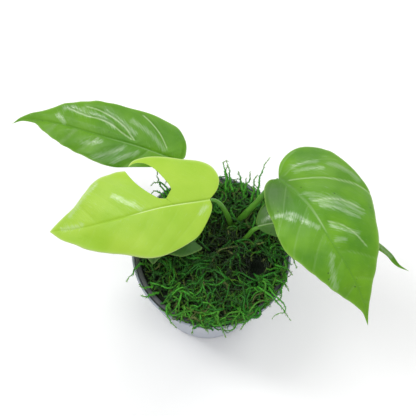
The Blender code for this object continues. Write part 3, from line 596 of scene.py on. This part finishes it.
def leaf_patch(leaf, inner, outer, sweep):
    """The grid of one patch: each row runs from rail to rail, first sideways and then on
    towards the tip. The blade bulges between its veins and is grooved along each of them."""
    q = np.linspace(0, 1, LEAF_STEPS)[None, :]
    u = inner[:, :1] + (outer[:, :1] - inner[:, :1]) * q ** sweep
    v = inner[:, 1:] + (outer[:, 1:] - inner[:, 1:]) * q
    reach = np.linalg.norm(outer - inner, axis=1)[:, None]
    drawn = from_lines(u, v, [through(route, 6) for route in leaf["creases"]])
    nearest = np.minimum(from_lines(u, v, side_vein_lines(leaf)), np.abs(v) + 0.4)
    edge = np.clip((1 - q) * reach / 6, 0, 1)
    taper = np.clip(1 - u / 135, 0, 1) ** 0.5
    bulge = leaf["quilt"] * (1 - np.exp(-(nearest / BULGE_SPREAD) ** 1.5)) * (0.4 + 0.6 * edge)
    crease = leaf["quilt"] * (CREASE_DEPTH * hump(drawn, CREASE_WIDTH)
                              + SIDE_GROOVE_DEPTH * hump(nearest, SIDE_GROOVE_WIDTH))
    ripple = RIPPLE_HEIGHT * np.clip(reach / 35, 0, 1) * q ** 3 * np.sin(u / 5.5 + 0.15 * v)
    pucker = (PUCKER_HEIGHT * np.sin(1.1 * u + 0.9 * np.sin(0.5 * v))
              * np.sin(1.3 * v + np.sin(0.7 * u)))
    groove = MIDRIB_GROOVE_DEPTH * taper * hump(v, MIDRIB_GROOVE_WIDTH)
    height = bulge - crease + ripple + leaf["quilt"] * pucker - groove
    rib, rib_start, rib_end = leaf["rib"]
    wax_and_sheen_lines = [through(route, 6) for route in leaf["wax_and_sheen"]]
    marks = {
        # Paler side veins, strongest on the drawn creases, where the pale line is also a painted
        # glint on the crease's edge
        "side_vein_and_glint": leaf["quilt"] * np.clip(hump(drawn, 0.4) + 0.2 * hump(nearest, 0.5), 0, 1),
        # The midrib's pale line lies along one side of its groove: partly its own paler colour,
        # partly a painted highlight
        "midrib": rib * hump(v - 0.45, 0.3) * np.clip((rib_end - u) / 12, 0, 1)
                  * np.clip((u - rib_start) / 5 + 1, 0, 1),
        # Painted shade along the bottom of the midrib's groove
        "midrib_groove_shade": hump(v, 0.5) * taper,
        "rim": np.exp(-(1 - q) * reach / 0.6),
        "across_veins": u - VEIN_LEAN * np.abs(v) - VEIN_CURVE * v ** 2,
        "along_veins": v,
        # Wax streaks: they set the gloss, and also carry a painted pale sheen in the colour
        "wax_and_sheen": hump(from_lines(u, v, wax_and_sheen_lines), WAX_AND_SHEEN_WIDTH),
        # Painted shade: spots where the blade lies in shadow, darkened in the colour
        "shade": np.clip(sum((share * np.exp(-((u - a) ** 2 + (v - b) ** 2) / r ** 2)
                              for a, b, r, share in leaf["shade"]), np.zeros_like(u)), 0, 1),
    }
    return u, v, height, marks


def leaf_mesh(name, leaf, patches, material):
    """A closed blade: the top and the underside of each patch, with a keel below the
    midrib, and the strip between them along each edge that is open."""
    points, quads, marks = [], [], {}
    count = 0
    rows, steps = LEAF_ROWS, LEAF_STEPS
    square = grid_faces(rows, steps, closed=False)
    k = np.arange(rows - 1)
    for rails, open_inner in patches:
        u, v, height, patch_marks = leaf_patch(leaf, *rails)
        thin = np.clip(1 - patch_marks["rim"], 0, 1)
        thickness = BLADE_THICKNESS * (BLADE_EDGE_SHARE + (1 - BLADE_EDGE_SHARE) * thin)
        keel = KEEL_DEPTH * np.clip(1 - u / 120, 0, 1) * hump(v, KEEL_WIDTH) * (u > -0.5)
        top = bend(leaf, u, v, height + thickness / 2)
        under = bend(leaf, u, v, height - thickness / 2 - keel)
        size = rows * steps
        # One square well inside the patch tells which way its grid faces
        turned_up = np.cross(top[60, 20] - top[61, 20], top[60, 21] - top[60, 20])[2] > 0
        shell = [count + square, count + size + square[:, ::-1]]
        edges = [(steps - 1, True)] + ([(0, False)] if open_inner else [])
        for column, outer_edge in edges:
            a, b = count + k * steps + column, count + (k + 1) * steps + column
            strip = np.stack([a, b, b + size, a + size], -1)
            shell.append(strip[:, ::-1] if outer_edge else strip)
        shell = np.concatenate(shell)
        quads.append(shell[:, ::-1] if turned_up else shell)
        points += [top.reshape(-1, 3), under.reshape(-1, 3)]
        for key, value in patch_marks.items():
            marks.setdefault(key, []).extend([value.ravel(), value.ravel()])
        marks.setdefault("underside", []).extend([np.zeros(size), np.ones(size)])
        count += 2 * size
    item = polygon_mesh(name, np.concatenate(points), [np.concatenate(quads)], material)
    write_marks(item, {key: np.concatenate(value) for key, value in marks.items()})
    weld_seams(item)
    return item


def weld_seams(item):
    """Close the seam along the midrib and drop the faces that shrank to nothing."""
    mesh = bmesh.new()
    mesh.from_mesh(item.data)
    bmesh.ops.remove_doubles(mesh, verts=mesh.verts, dist=0.000004)
    bmesh.ops.dissolve_degenerate(mesh, edges=mesh.edges, dist=0.000002)
    bmesh.ops.recalc_face_normals(mesh, faces=mesh.faces)
    mesh.to_mesh(item.data)
    mesh.free()
    item.data.shade_smooth()


def leaf_material(name, deep, bright, vein_and_glint, edge_colour, below, roughness, shine, specks):
    """Living leaf skin: chlorophyll green that drifts in tone over the blade, painted shade where
    it lies in shadow, paler side veins with painted glints along the drawn creases, painted
    shade in the midrib's groove, a paler midrib edge that is partly a painted highlight, a paler
    edge, a few dark specks, a paler matte underside, and a waxy cuticle whose gloss lies in
    streaks along the side veins, with a painted pale sheen on the same streaks."""
    material, tree, shader = new_material(name)

    def mark(key):
        """One of the numbers kept with the blade's points."""
        return add_node(tree, "ShaderNodeAttribute", {"attribute_name": key}).outputs["Fac"]

    place = add_node(tree, "ShaderNodeTexCoord").outputs["Object"]
    drift = add_node(tree, "ShaderNodeTexNoise", {"Scale": 34.0, "Detail": 3.0}, {"Vector": place})
    spread = add_node(tree, "ShaderNodeMapRange", {1: 0.35, 2: 0.65}, {0: drift.outputs["Fac"]})
    green = add_node(tree, "ShaderNodeMix", {"data_type": "RGBA", 6: linear(deep),
                                             7: linear(bright)}, {0: spread.outputs[0]})
    grid = add_node(tree, "ShaderNodeCombineXYZ", None,
                    {0: mark("across_veins"), 1: mark("along_veins")})
    stretch = add_node(tree, "ShaderNodeMapping", {"Scale": (0.95, 0.16, 1)},
                       {"Vector": grid.outputs["Vector"]})
    streak = add_node(tree, "ShaderNodeTexNoise", {"Scale": 1.0, "Detail": 6.0, "Roughness": 0.72},
                      {"Vector": stretch.outputs["Vector"]})
    # The wax streaks, broken up by the streak noise, drive the gloss coat and also paint a pale
    # sheen into the colour
    streaked_wax_and_sheen = add_node(tree, "ShaderNodeMath", {"operation": "MULTIPLY_ADD", 1: 0.26},
                      {0: mark("wax_and_sheen"), 2: streak.outputs["Fac"]})
    wax_and_sheen = add_node(tree, "ShaderNodeMapRange", {1: 0.59, 2: 0.79, 4: shine}, {0: streaked_wax_and_sheen.outputs[0]})
    cell = add_node(tree, "ShaderNodeTexVoronoi", {"Scale": 95.0}, {"Vector": place})
    speck = add_node(tree, "ShaderNodeMapRange", {1: 0.04, 2: 0.07, 3: specks, 4: 0.0},
                     {0: cell.outputs["Distance"]})
    colour = green.outputs[2]
    # Layers over the green: painted shade where the blade lies in shadow, paler side veins with
    # painted glints, painted shade along the midrib's groove, the midrib's pale edge with its
    # painted highlight, the paler edge, dark specks, a painted pale sheen on the wax streaks, and
    # the paler underside
    for part, share, tint in ((mark("shade"), 0.85, "#35601C"), (mark("side_vein_and_glint"), 0.36, vein_and_glint),
                              (mark("midrib_groove_shade"), 0.7, deep), (mark("midrib"), 1.0, vein_and_glint),
                              (mark("rim"), 0.7, edge_colour), (speck.outputs[0], 1.0, "#2F4A18"),
                              (wax_and_sheen.outputs[0], 0.22, "#CFE3C4"), (mark("underside"), 1.0, below)):
        amount = add_node(tree, "ShaderNodeMath", {"operation": "MULTIPLY", 1: share}, {0: part})
        layer = add_node(tree, "ShaderNodeMix", {"data_type": "RGBA", 7: linear(tint)},
                         {0: amount.outputs[0], 6: colour})
        colour = layer.outputs[2]
    tree.links.new(colour, shader.inputs["Base Color"])
    shader.inputs["Roughness"].default_value = roughness
    cells = add_node(tree, "ShaderNodeTexVoronoi", {"Scale": 1100.0}, {"Vector": place})
    both = add_node(tree, "ShaderNodeMath", {"operation": "MULTIPLY_ADD", 1: 0.25},
                    {0: cells.outputs["Distance"], 2: streak.outputs["Fac"]})
    bump = add_node(tree, "ShaderNodeBump", {"Strength": 0.3, "Distance": 0.0005},
                    {"Height": both.outputs[0]})
    tree.links.new(bump.outputs["Normal"], shader.inputs["Normal"])
    shader.inputs["IOR"].default_value = 1.4
    tree.links.new(wax_and_sheen.outputs[0], shader.inputs["Coat Weight"])
    shader.inputs["Coat Roughness"].default_value = 0.08
    shader.inputs["Coat IOR"].default_value = 1.5
    tree.links.new(bump.outputs["Normal"], shader.inputs["Coat Normal"])
    return material


mature = leaf_material("mature_leaf_waxy_green", "#4C8608", "#689F0B", "#CDE3B0", "#9CC65A",
                       "#7FA957", roughness=0.42, shine=0.9, specks=0.7)
young = leaf_material("young_leaf_thin_lime", "#92BC28", "#A0C437", "#DDEBB0", "#D0E398",
                      "#B7D472", roughness=0.4, shine=1.0, specks=0.0)
# The lower-left leaf lies in shadow under the others: its darker green is painted shade, with no
# gloss coat
shaded = leaf_material("leaf_green_painted_shade", "#2C5518", "#3B6B22", "#6F9C48", "#7FA552",
                       "#64894A", roughness=0.5, shine=0.0, specks=0.3)
SKINS = {"leaf_lime": young, "leaf_lower_left": shaded}

for name, leaf in LEAVES.items():
    patches = [(half_rails(leaf, leaf["left"]), False)]
    if "hook" in leaf:
        basal, rest = slot_rails(leaf)
        patches += [(basal, True), (rest, False)]
    else:
        patches.append((half_rails(leaf, leaf["right"]), False))
    blade = leaf_mesh(name + "_blade", leaf, patches, SKINS.get(name, mature))
    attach(blade, "root")
    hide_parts(name)

# Stem and petioles.
# One short stem hidden in the moss, and a smooth round petiole to each leaf. The right
# leaf's petiole is the widest at its foot, where its sheath once wrapped the next leaf.
STEM = [((12, 20, 82), 4.2), ((12, 20, 98), 4.4), ((13, 20, 108), 4.6), ((14, 20, 114), 3.6)]
PETIOLES = {
    "leaf_lime": [((13, 20, 106), 2.2), ((11.4, 22.3, 119), 2.1), ((9.2, 21.9, 132), 2.0),
                  ((6.4, 22.4, 143), 1.8), ((3, 23.2, 151.5), 1.6), ((-0.6, 24, 156), 1.4)],
    "leaf_right": [((14, 20, 106), 2.9), ((19.1, 24.7, 118), 2.7), ((25.2, 27.6, 136), 2.3),
                   ((29.4, 29.5, 147), 2.1), ((32.8, 31.6, 157), 2.0), ((36.8, 34.3, 167), 1.9)],
    "leaf_lower_right": [((14, 18, 106), 2.2), ((21.4, 8.7, 114), 2.0), ((23.7, 9.9, 118), 1.9),
                         ((26.1, 11, 125), 1.8), ((28.8, 12.5, 133), 1.7)],
    "leaf_upper_left": [((12, 21, 106), 2.6), ((5, 23.5, 110), 2.5), ((-3, 26, 115), 2.3),
                        ((-10, 33, 126), 2.2), ((-18, 45, 135), 2.0), ((-25, 56, 137.5), 1.9)],
    "leaf_lower_left": [((12, 19, 106), 2.2), ((3, 16, 110), 2.0), ((-6, 12, 114), 1.8),
                        ((-11.5, 7, 121), 1.6), ((-13, 3, 127.5), 1.5)],
}
PETIOLE_END_SHARE = 0.85
PETIOLE_SINK = 0.7
PETIOLE_SPAN = 20
PETIOLE_STEPS = 90
PETIOLE_SIDES = 24


def swept(lines, radii, sides):
    """Round tubes along many lines at once: a ring of points round each line point, in a
    frame carried along without twist, and a flat cap on each end."""
    count, steps = lines.shape[:2]
    tangent = unit(np.gradient(lines, axis=1))
    side = np.empty_like(lines)
    side[:, 0] = unit(np.cross(tangent[:, 0], np.array([0.31, 0.17, 1.0])))
    for i in range(1, steps):
        last = side[:, i - 1]
        flat = last - (last * tangent[:, i]).sum(-1, keepdims=True) * tangent[:, i]
        side[:, i] = unit(flat)
    other = np.cross(tangent, side)
    angle = 2 * np.pi * np.arange(sides) / sides
    ring = (side[:, :, None] * np.cos(angle)[:, None] + other[:, :, None] * np.sin(angle)[:, None])
    points = lines[:, :, None] + radii[:, :, None, None] * ring
    start = (np.arange(count) * steps * sides)[:, None]
    outward = grid_faces(steps, sides, closed=True)[:, [0, 3, 2, 1]]
    quads = (start[:, None] + outward).reshape(-1, 4)
    first = start + np.arange(sides)[::-1]
    last = start + (steps - 1) * sides + np.arange(sides)
    return points.reshape(-1, 3), quads, np.concatenate([first, last])


skin, tree, shader = new_material("petiole_skin_green")
# Petiole skin: smooth and slightly waxy, with fine lengthwise streaks of paler green
place = add_node(tree, "ShaderNodeTexCoord").outputs["Object"]
stretch = add_node(tree, "ShaderNodeMapping", {"Scale": (700, 700, 60)}, {"Vector": place})
streak = add_node(tree, "ShaderNodeTexNoise", {"Scale": 1.0, "Detail": 3.0},
                  {"Vector": stretch.outputs["Vector"]})
tone_and_relief(tree, shader, "#3D7A1C", "#6BA838", streak.outputs["Fac"], streak.outputs["Fac"],
                strength=0.2, depth=0.0002)
shader.inputs["Roughness"].default_value = 0.38
shader.inputs["Subsurface Weight"].default_value = 0.1
shader.inputs["Subsurface Radius"].default_value = (0.001, 0.002, 0.0004)

petiole_lines = []
for name, route in {"stem": STEM, **PETIOLES}.items():
    places = [place for place, _ in route]
    radii = [radius for _, radius in route]
    if name in LEAVES:
        radii.append(PETIOLE_END_SHARE * radii[-1])
        sink = PETIOLE_SINK + 0.8 * radii[-1]
        end = bend(LEAVES[name], np.array([-0.4]), np.zeros(1), np.array([-sink]))
        places.append(tuple(end[0]))
    line = through(places, PETIOLE_SPAN)
    widths = np.interp(np.arange(len(line)) / PETIOLE_SPAN, np.arange(len(radii)), radii)
    at = np.linspace(0, 1, PETIOLE_STEPS)
    petiole_lines.append((along(line, at), np.interp(at * lengths(line)[-1], lengths(line), widths)))
points, quads, caps = swept(np.stack([line for line, _ in petiole_lines]),
                            np.stack([radius for _, radius in petiole_lines]), PETIOLE_SIDES)
stem = polygon_mesh("stem_and_petioles_skin", points, [quads, caps], skin)
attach(stem, "root")
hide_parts("stem_with_petioles")

# Moss cushion.
# A near-black layer under the strands, seen in the gaps between them: painted shade for the
# shadow deep in the moss. It is pressed over the soil, with a round hole poked down to the soil
# at the right.
MOSS_RIM_HEIGHT = POT_HEIGHT - 0.5
MOSS_CROWN = 8.0
MOSS_LUMP = 1.6
WATER_HOLE = (35.0, -10.6)
WATER_HOLE_RADIUS = 5.2
HOLE_FLOOR = SOIL_TOP + 0.8
CUSHION_BOTTOM = SOIL_TOP + 0.2
CUSHION_DROP = 4.0
CUSHION_RINGS = 110
CUSHION_SECTORS = 300


def moss_height(x, y):
    """The cushion's top: a low crown with slow lumps, lower along the rim."""
    reach = np.hypot(x, y) / inside_radius(MOSS_RIM_HEIGHT)
    lumps = (np.sin(0.23 * x + 1.3) * np.cos(0.19 * y - 0.4)
             + 0.7 * np.sin(0.41 * y + 0.17 * x) * np.cos(0.37 * x))
    crown = MOSS_CROWN * (1 - np.clip(reach, 0, 1.05) ** 2.4)
    return MOSS_RIM_HEIGHT + crown + MOSS_LUMP * lumps * np.clip(1.1 - reach, 0, 1)


moss_painted_shade, tree, shader = new_material("sheet_moss_painted_shade")
# Painted shade for the moss's depths: near-black green with a coarse fibrous mottle
place = add_node(tree, "ShaderNodeTexCoord").outputs["Object"]
fibre = add_node(tree, "ShaderNodeTexNoise", {"Scale": 420.0, "Detail": 6.0, "Roughness": 0.7},
                 {"Vector": place})
tone_and_relief(tree, shader, "#030802", "#12290B", fibre.outputs["Fac"], fibre.outputs["Fac"],
                strength=0.9, depth=0.0015)
shader.inputs["Roughness"].default_value = 0.9

ring = np.linspace(0.01, 1, CUSHION_RINGS)[:, None] * inside_radius(SOIL_TOP + GAP)
angle = 2 * np.pi * np.arange(CUSHION_SECTORS)[None, :] / CUSHION_SECTORS
x, y = ring * np.cos(angle), ring * np.sin(angle)
rough = 0.9 * np.sin(1.9 * x + 2 * np.sin(0.8 * y)) * np.sin(1.7 * y + 2 * np.sin(0.9 * x))
top = moss_height(x, y) - CUSHION_DROP + rough
from_hole = np.hypot(x - WATER_HOLE[0], y - WATER_HOLE[1])
top = np.where(from_hole < WATER_HOLE_RADIUS, HOLE_FLOOR, top)
for line, radius in petiole_lines:
    for (at_x, at_y, at_z), thick in zip(line[::2], radius[::2] + 0.6):
        near = np.hypot(x - at_x, y - at_y) < thick
        top = np.where(near & (at_z - thick < top), np.maximum(at_z - thick, HOLE_FLOOR), top)
points = np.stack([x, y, top], -1).reshape(-1, 3)
under = points[-CUSHION_SECTORS:].copy()
under[:, 2] = CUSHION_BOTTOM
points = np.concatenate([points, under, [(0, 0, top[0].mean()), (0, 0, CUSHION_BOTTOM)]])
cushion = polygon_mesh("moss_cushion", points, ring_faces(CUSHION_RINGS + 1, CUSHION_SECTORS),
                       moss_painted_shade)
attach(cushion, "root")
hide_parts("moss")

# Moss strands.
# Dyed sheet moss: each strand is a thin stalk with tiny leaves all round it, 2 to 3 mm
# across in all, with side shoots. The strands lie tangled in tufts, with dark gaps between
# them, and some stand out past the rim. They are pressed on by hand.
STRAND_STEPS = 12
STRAND_SIDES = 4
OLIVE_TINT = 0.94
DEEP_REACH = 53
OUTSIDE_REACH = 55
LEAF_CLEARANCE = 2.6
RIM_ANGLES = [0, 40, 90, 140, 165, 195, 225, 240, 255, 285, 300, 330, 360]
RIM_REACH = [61, 61, 62, 58, 56, 54, 57, 61, 62, 62, 61, 61, 61]

live_moss, tree, shader = new_material("dyed_sheet_moss_strand")
# Dried dyed moss: matte green, tinted darker on the deep strands and round the stem as painted
# shade and brighter on the upper strands and over the rim as painted light, with paler young
# tips and a few olive strands that took less dye
tint = add_node(tree, "ShaderNodeAttribute", {"attribute_name": "tint"}).outputs["Fac"]
tip = add_node(tree, "ShaderNodeAttribute", {"attribute_name": "tip"}).outputs["Fac"]
green = add_node(tree, "ShaderNodeValToRGB", None, {"Fac": tint})
ramp = green.color_ramp
ramp.elements[0].position, ramp.elements[0].color = 0.0, linear("#071A04")
ramp.elements[1].position, ramp.elements[1].color = 1.0, linear("#66703A")
for position, colour in ((0.35, "#103C08"), (0.7, "#217814"), (0.92, "#4FAA26"), (0.95, "#4F5F2B")):
    ramp.elements.new(position).color = linear(colour)
young_end = add_node(tree, "ShaderNodeMix", {"data_type": "RGBA", 7: linear("#8FC233")},
                     {0: tip, 6: green.outputs["Color"]})
tree.links.new(young_end.outputs[2], shader.inputs["Base Color"])
shader.inputs["Roughness"].default_value = 0.62

draw = np.random.default_rng(5)
# How far along its strand each point lies, from 0 at its foot to 1 at its tip
t = np.linspace(0, 1, STRAND_STEPS)[None, :]
blade_points = []
for leaf in LEAVES.values():
    reach = midrib_length(leaf)
    u, v = np.meshgrid(np.arange(0, reach, 2.5), np.arange(-9, 10, 3.0), indexing="ij")
    blade_points.append(bend(leaf, u, v, np.zeros_like(u)).reshape(-1, 3))
blade_points = np.concatenate(blade_points)
blade_points = blade_points[blade_points[:, 2] < 134]


def from_axis(lines):
    """How far each point of the strands is from the pot's axis."""
    return np.hypot(lines[..., 0], lines[..., 1])


def clear_strands(lines):
    """Keep the strands that stay off the low leaves, the petioles and the poked hole, and
    that end before they hang too far over the rim."""
    hole = np.hypot(lines[..., 0] - WATER_HOLE[0], lines[..., 1] - WATER_HOLE[1])
    keep = hole.min(1) > WATER_HOLE_RADIUS + 0.6
    angle = np.degrees(np.arctan2(lines[..., 1], lines[..., 0])) % 360
    over = from_axis(lines) - np.interp(angle, RIM_ANGLES, RIM_REACH)
    keep &= over.max(1) < draw.exponential(1.3, len(lines))
    spots = [(blade_points, LEAF_CLEARANCE)]
    for line, radius in petiole_lines:
        spots.append((line[::4], float(radius.mean()) + 0.5))
    for centres, distance in spots:
        gap = np.linalg.norm(lines[:, ::2, None] - centres[None, None], axis=-1)
        keep &= gap.min((1, 2)) > distance
    return lines[keep]


def tangle(tufts, strands, base, lift, span):
    """Random strands in tufts over the cushion: the strands of a tuft start close together
    and head much the same way. Each bends as it runs, rises by a half wave, and dips back
    or ends free."""
    count = tufts * strands
    reach = 60.0 * np.sqrt(draw.uniform(0, 1, tufts))
    turn = draw.uniform(0, 2 * np.pi, tufts)
    middle = np.repeat(np.stack([reach * np.cos(turn), reach * np.sin(turn)], -1), strands, 0)
    start = middle + draw.normal(0, 2.2, (count, 2))
    heading = np.repeat(draw.uniform(0, 2 * np.pi, tufts), strands)[:, None]
    heading = heading + draw.normal(0, 0.55, (count, 1))
    curl = draw.normal(0, 1.3, (count, 1))
    wiggle = draw.uniform(0.2, 0.7, (count, 1))
    length = draw.uniform(*span, (count, 1))
    angle = heading + curl * t + wiggle * np.sin(t * draw.uniform(5, 12, (count, 1)))
    x = start[:, :1] + np.cumsum(np.cos(angle), 1) * length / STRAND_STEPS
    y = start[:, 1:] + np.cumsum(np.sin(angle), 1) * length / STRAND_STEPS
    tuft_lift = np.repeat(draw.uniform(0.3, 1.0, tufts), strands)[:, None]
    rise = lift * tuft_lift * draw.uniform(0.6, 1.1, (count, 1))
    free = (draw.uniform(0, 1, (count, 1)) < 0.35)
    arc = np.where(free, t ** 0.8, np.sin(np.pi * t ** 0.8))
    z = moss_height(x, y) + base + draw.normal(0, 0.7, (count, 1)) + rise * arc
    out = np.hypot(x, y)
    z = np.where(out > 50.5, np.maximum(z, POT_HEIGHT + 1.2), z)
    return clear_strands(np.stack([x, y, z], -1))


def side_shoots(lines, each, span):
    """Short shoots that leave the strands sideways and lean forwards, a few to a strand."""
    count = len(lines) * each
    parent = np.repeat(np.arange(len(lines)), each)
    at = draw.integers(2, STRAND_STEPS - 2, count)
    base = lines[parent, at]
    forward = unit(lines[parent, at + 1] - lines[parent, at - 1])
    side = unit(np.cross(forward, (0, 0, 1))) * draw.choice([-1.0, 1.0], (count, 1))
    lean = unit(forward * 0.8 + side * draw.uniform(0.5, 1.1, (count, 1))
                + np.array([0, 0, 1]) * draw.normal(0.12, 0.25, (count, 1)))
    length = draw.uniform(*span, (count, 1, 1))
    sway = side[:, None] * (np.sin(t * 5) * 0.08)[..., None]
    return clear_strands(base[:, None] + length * (lean[:, None] * t[..., None] + sway))


def tiny_leaves(lines, tints, tips, per_strand, size):
    """The tiny leaves: slim closed spikes that lean forwards out of the stalk, each turned
    further round it than the last, and shorter towards its end."""
    count, steps = lines.shape[:2]
    at = np.linspace(0.03, 0.97, per_strand) * (steps - 1)
    at = at + draw.uniform(-0.2, 0.2, (count, per_strand))
    low = np.clip(at.astype(int), 0, steps - 2)
    share = (at - low)[..., None]
    rows = np.arange(count)[:, None]
    base = lines[rows, low] * (1 - share) + lines[rows, low + 1] * share
    forward = unit(lines[rows, low + 1] - lines[rows, low])
    side = unit(np.cross(forward, np.array([0.2, 0.1, 1.0])))
    other = np.cross(side, forward)
    spin = np.arange(per_strand) * 2.4 + draw.uniform(0, 6.3, (count, 1))
    spin = (spin + draw.normal(0, 0.3, spin.shape))[..., None]
    out = side * np.cos(spin) + other * np.sin(spin) * 0.7
    across = np.cross(forward, out)
    long = size * draw.uniform(0.7, 1.3, spin.shape) * (1.05 - 0.5 * at[..., None] / steps)
    tip = base + long * unit(forward * 0.85 + out * draw.uniform(0.5, 1.15, spin.shape))
    corners = [base + across * 0.34 * long, base - across * 0.34 * long,
               base + forward * 0.4 * long + out * 0.2 * long]
    points = np.stack([*corners, tip], -2).reshape(-1, 3)
    start = 4 * np.arange(count * per_strand)[:, None]
    faces = np.concatenate([start + [0, 1, 3], start + [1, 2, 3], start + [2, 0, 3],
                            start + [0, 2, 1]])
    own = np.clip(tints[:, None] + draw.normal(0, 0.1, (count, per_strand)), 0, OLIVE_TINT)
    own = np.where(tints[:, None] > OLIVE_TINT, tints[:, None], own)
    ends = tips[rows, low][..., None] + np.array([0.0, 0.0, 0.0, 0.18])
    return points, faces, np.repeat(own.ravel(), 4), np.clip(ends, 0, 1).ravel()


def strand_piece(name, lines, tints, tips, thickness, per_strand, size):
    """One layer of strands: their stalks and tiny leaves, tinted by strand and along it, darkened
    round the stem under the leaves as painted shade and brightened out over the rim as painted
    light."""
    middle_x, middle_y = lines[..., 0].mean(1), lines[..., 1].mean(1)
    # Painted shade: strands near the middle, under the leaves, are tinted darker
    shade_under_leaves = 0.32 * np.exp(-((middle_x - 8) ** 2 + (middle_y - 2) ** 2) / 30 ** 2)
    tints = np.where(tints < OLIVE_TINT, np.clip(tints - shade_under_leaves, 0, 1), tints)
    # Painted light: strands that reach out over the rim are tinted brighter
    outside = from_axis(lines).max(1) > OUTSIDE_REACH
    tints = np.where(outside & (tints < OLIVE_TINT), np.clip(tints + 0.25, 0.6, 0.93), tints)
    radii = thickness * np.clip(1.1 - t, 0.15, 1) * np.ones((len(lines), 1))
    points, quads, caps = swept(lines, radii, STRAND_SIDES)
    leaf_points, leaf_faces, leaf_tint, leaf_tip = tiny_leaves(lines, tints, tips, per_strand, size)
    item = polygon_mesh(name, np.concatenate([points, leaf_points]),
                        [quads, caps, leaf_faces + len(points)], live_moss)
    stalk_tint = np.repeat(tints, lines.shape[1] * STRAND_SIDES)
    write_marks(item, {"tint": np.concatenate([stalk_tint, leaf_tint]),
                       "tip": np.concatenate([np.repeat(tips.ravel(), STRAND_SIDES), leaf_tip])})
    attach(item, "root")
    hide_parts("moss")


def dyed(count, low, high, olive, young):
    """One tint a strand, with a share of olive ones, and how far each strand turns to its
    young colour along its last third."""
    tints = draw.uniform(low, high, count)
    tints = np.where(draw.uniform(0, 1, count) < olive, draw.uniform(0.95, 1.0, count), tints)
    return tints, np.clip((t - 0.68) * 3.1, 0, 1) * young * draw.uniform(0, 1, (count, 1)) ** 1.6


# The layers are tinted by depth as painted shade and light: the deep strands darkest, the upper ones
# brightest. The paler young tips, given mostly to the upper layers, are partly their own colour and
# partly painted light.
deep = tangle(tufts=130, strands=6, base=-3.4, lift=2.0, span=(12, 28))
deep = deep[from_axis(deep).max(1) < DEEP_REACH]
strand_piece("moss_strands_deep", deep,
             *dyed(len(deep), low=0.0, high=0.25, olive=0.04, young=0.0),
             thickness=0.9, per_strand=22, size=2.3)
middle = tangle(tufts=105, strands=6, base=-1.6, lift=4.5, span=(14, 30))
strand_piece("moss_strands_middle", middle,
             *dyed(len(middle), low=0.05, high=0.65, olive=0.08, young=0.35),
             thickness=0.8, per_strand=34, size=2.3)
upper = tangle(tufts=72, strands=5, base=0.6, lift=8.0, span=(14, 30))
strand_piece("moss_strands_upper", upper,
             *dyed(len(upper), low=0.45, high=0.92, olive=0.07, young=1.0),
             thickness=0.85, per_strand=48, size=2.3)
shoots = side_shoots(np.concatenate([middle[::2], upper]), each=1, span=(4, 9))
strand_piece("moss_side_shoots", shoots,
             *dyed(len(shoots), low=0.45, high=0.92, olive=0.06, young=1.0),
             thickness=0.65, per_strand=20, size=1.9)

LONE_STRANDS = [
    [(6, 46, 118), (6, 52, 122), (5, 58, 126), (3, 63, 128), (3, 67, 128), (6, 68, 127)],
    [(12, 47, 117), (9, 54, 121), (8, 59, 125), (6, 65, 127), (4, 68.5, 128)],
    [(31, 42, 115), (31, 49, 120), (31, 56, 125), (33, 64, 129), (37, 72, 133)],
    [(19, 49, 116), (17, 56, 121), (14, 61, 126)],
    [(-48, -14, 113), (-54, -19, 117), (-57, -26, 118.5), (-61, -32, 118)],
    [(36, -26, 118), (44, -31, 120), (51, -37, 121), (57, -43, 120), (62, -49, 117)],
    [(42, -22, 117), (50, -33, 121), (57, -39, 121.5), (57, -44, 120.5), (51, -46, 119),
     (48, -49, 117)],
    [(-27, -43, 114), (-29, -50, 117), (-26, -57, 117.5), (-21, -62, 116)],
    [(-18, -45, 114), (-12, -53, 117.5), (-8, -60, 117), (-9, -65, 113)],
    [(4, -46, 114), (8, -53, 118), (13, -60, 117.5), (16, -65, 113)],
    [(-48, 8, 113), (-53, 2, 117), (-57, -5, 118)],
    [(49, 8, 113), (55, 4, 117), (61, -2, 118.5), (64, -9, 118)],
    [(-35, 38, 113), (-40, 42, 118), (-44, 46, 122), (-46, 50, 126), (-47, 55, 127)],
    [(-34, 40, 113), (-39, 45, 118), (-43, 47, 122), (-48, 46, 123), (-51, 44, 121)],
    [(-30, 42, 113), (-35, 48, 119), (-38, 53, 124), (-40, 58, 128)],
    [(-37, 36, 113), (-42, 40, 117), (-47, 41, 119), (-50, 39, 118)],
    [(-28, 44, 113), (-31, 50, 118), (-36, 51, 121), (-40, 48, 121)],
    [(8, 46, 114), (8, 53, 119), (6, 58, 123), (5, 62, 124), (6, 65, 124)],
    [(20, 44, 114), (21, 51, 119), (24, 57, 123), (23, 62, 125)],
    [(26, 42, 114), (28, 49, 119), (27, 55, 122), (29, 60, 124)],
    [(36, 36, 114), (39, 43, 118), (38, 49, 121)],
    [(-36, -36, 113), (-42, -40, 117), (-45, -42, 118), (-49, -41, 118)],
    [(-38, -30, 113), (-43, -34, 117), (-48, -35, 118), (-51, -32, 117)],
    [(-2, -46, 114), (-4, -53, 117.5), (-1, -59, 117.5), (3, -63, 115)],
    [(22, -42, 114), (27, -48, 118), (29, -54, 118), (26, -59, 116)],
    [(45, -16, 114), (51, -20, 118), (56, -22, 119), (59, -27, 119)],
    [(46, -6, 114), (52, -9, 118), (58, -11, 119), (61, -15, 119)],
]
lone = np.stack([along(through(route), t[0]) for route in LONE_STRANDS])
lone += 0.4 * np.sin(t * 21)[..., None] * np.array([1.0, -0.6, 0.4])
strand_piece("moss_lone_strands", lone, np.full(len(lone), 0.6),
             np.repeat(np.clip((t - 0.6) * 1.6, 0, 0.6), len(lone), 0),
             thickness=1.0, per_strand=54, size=2.5)
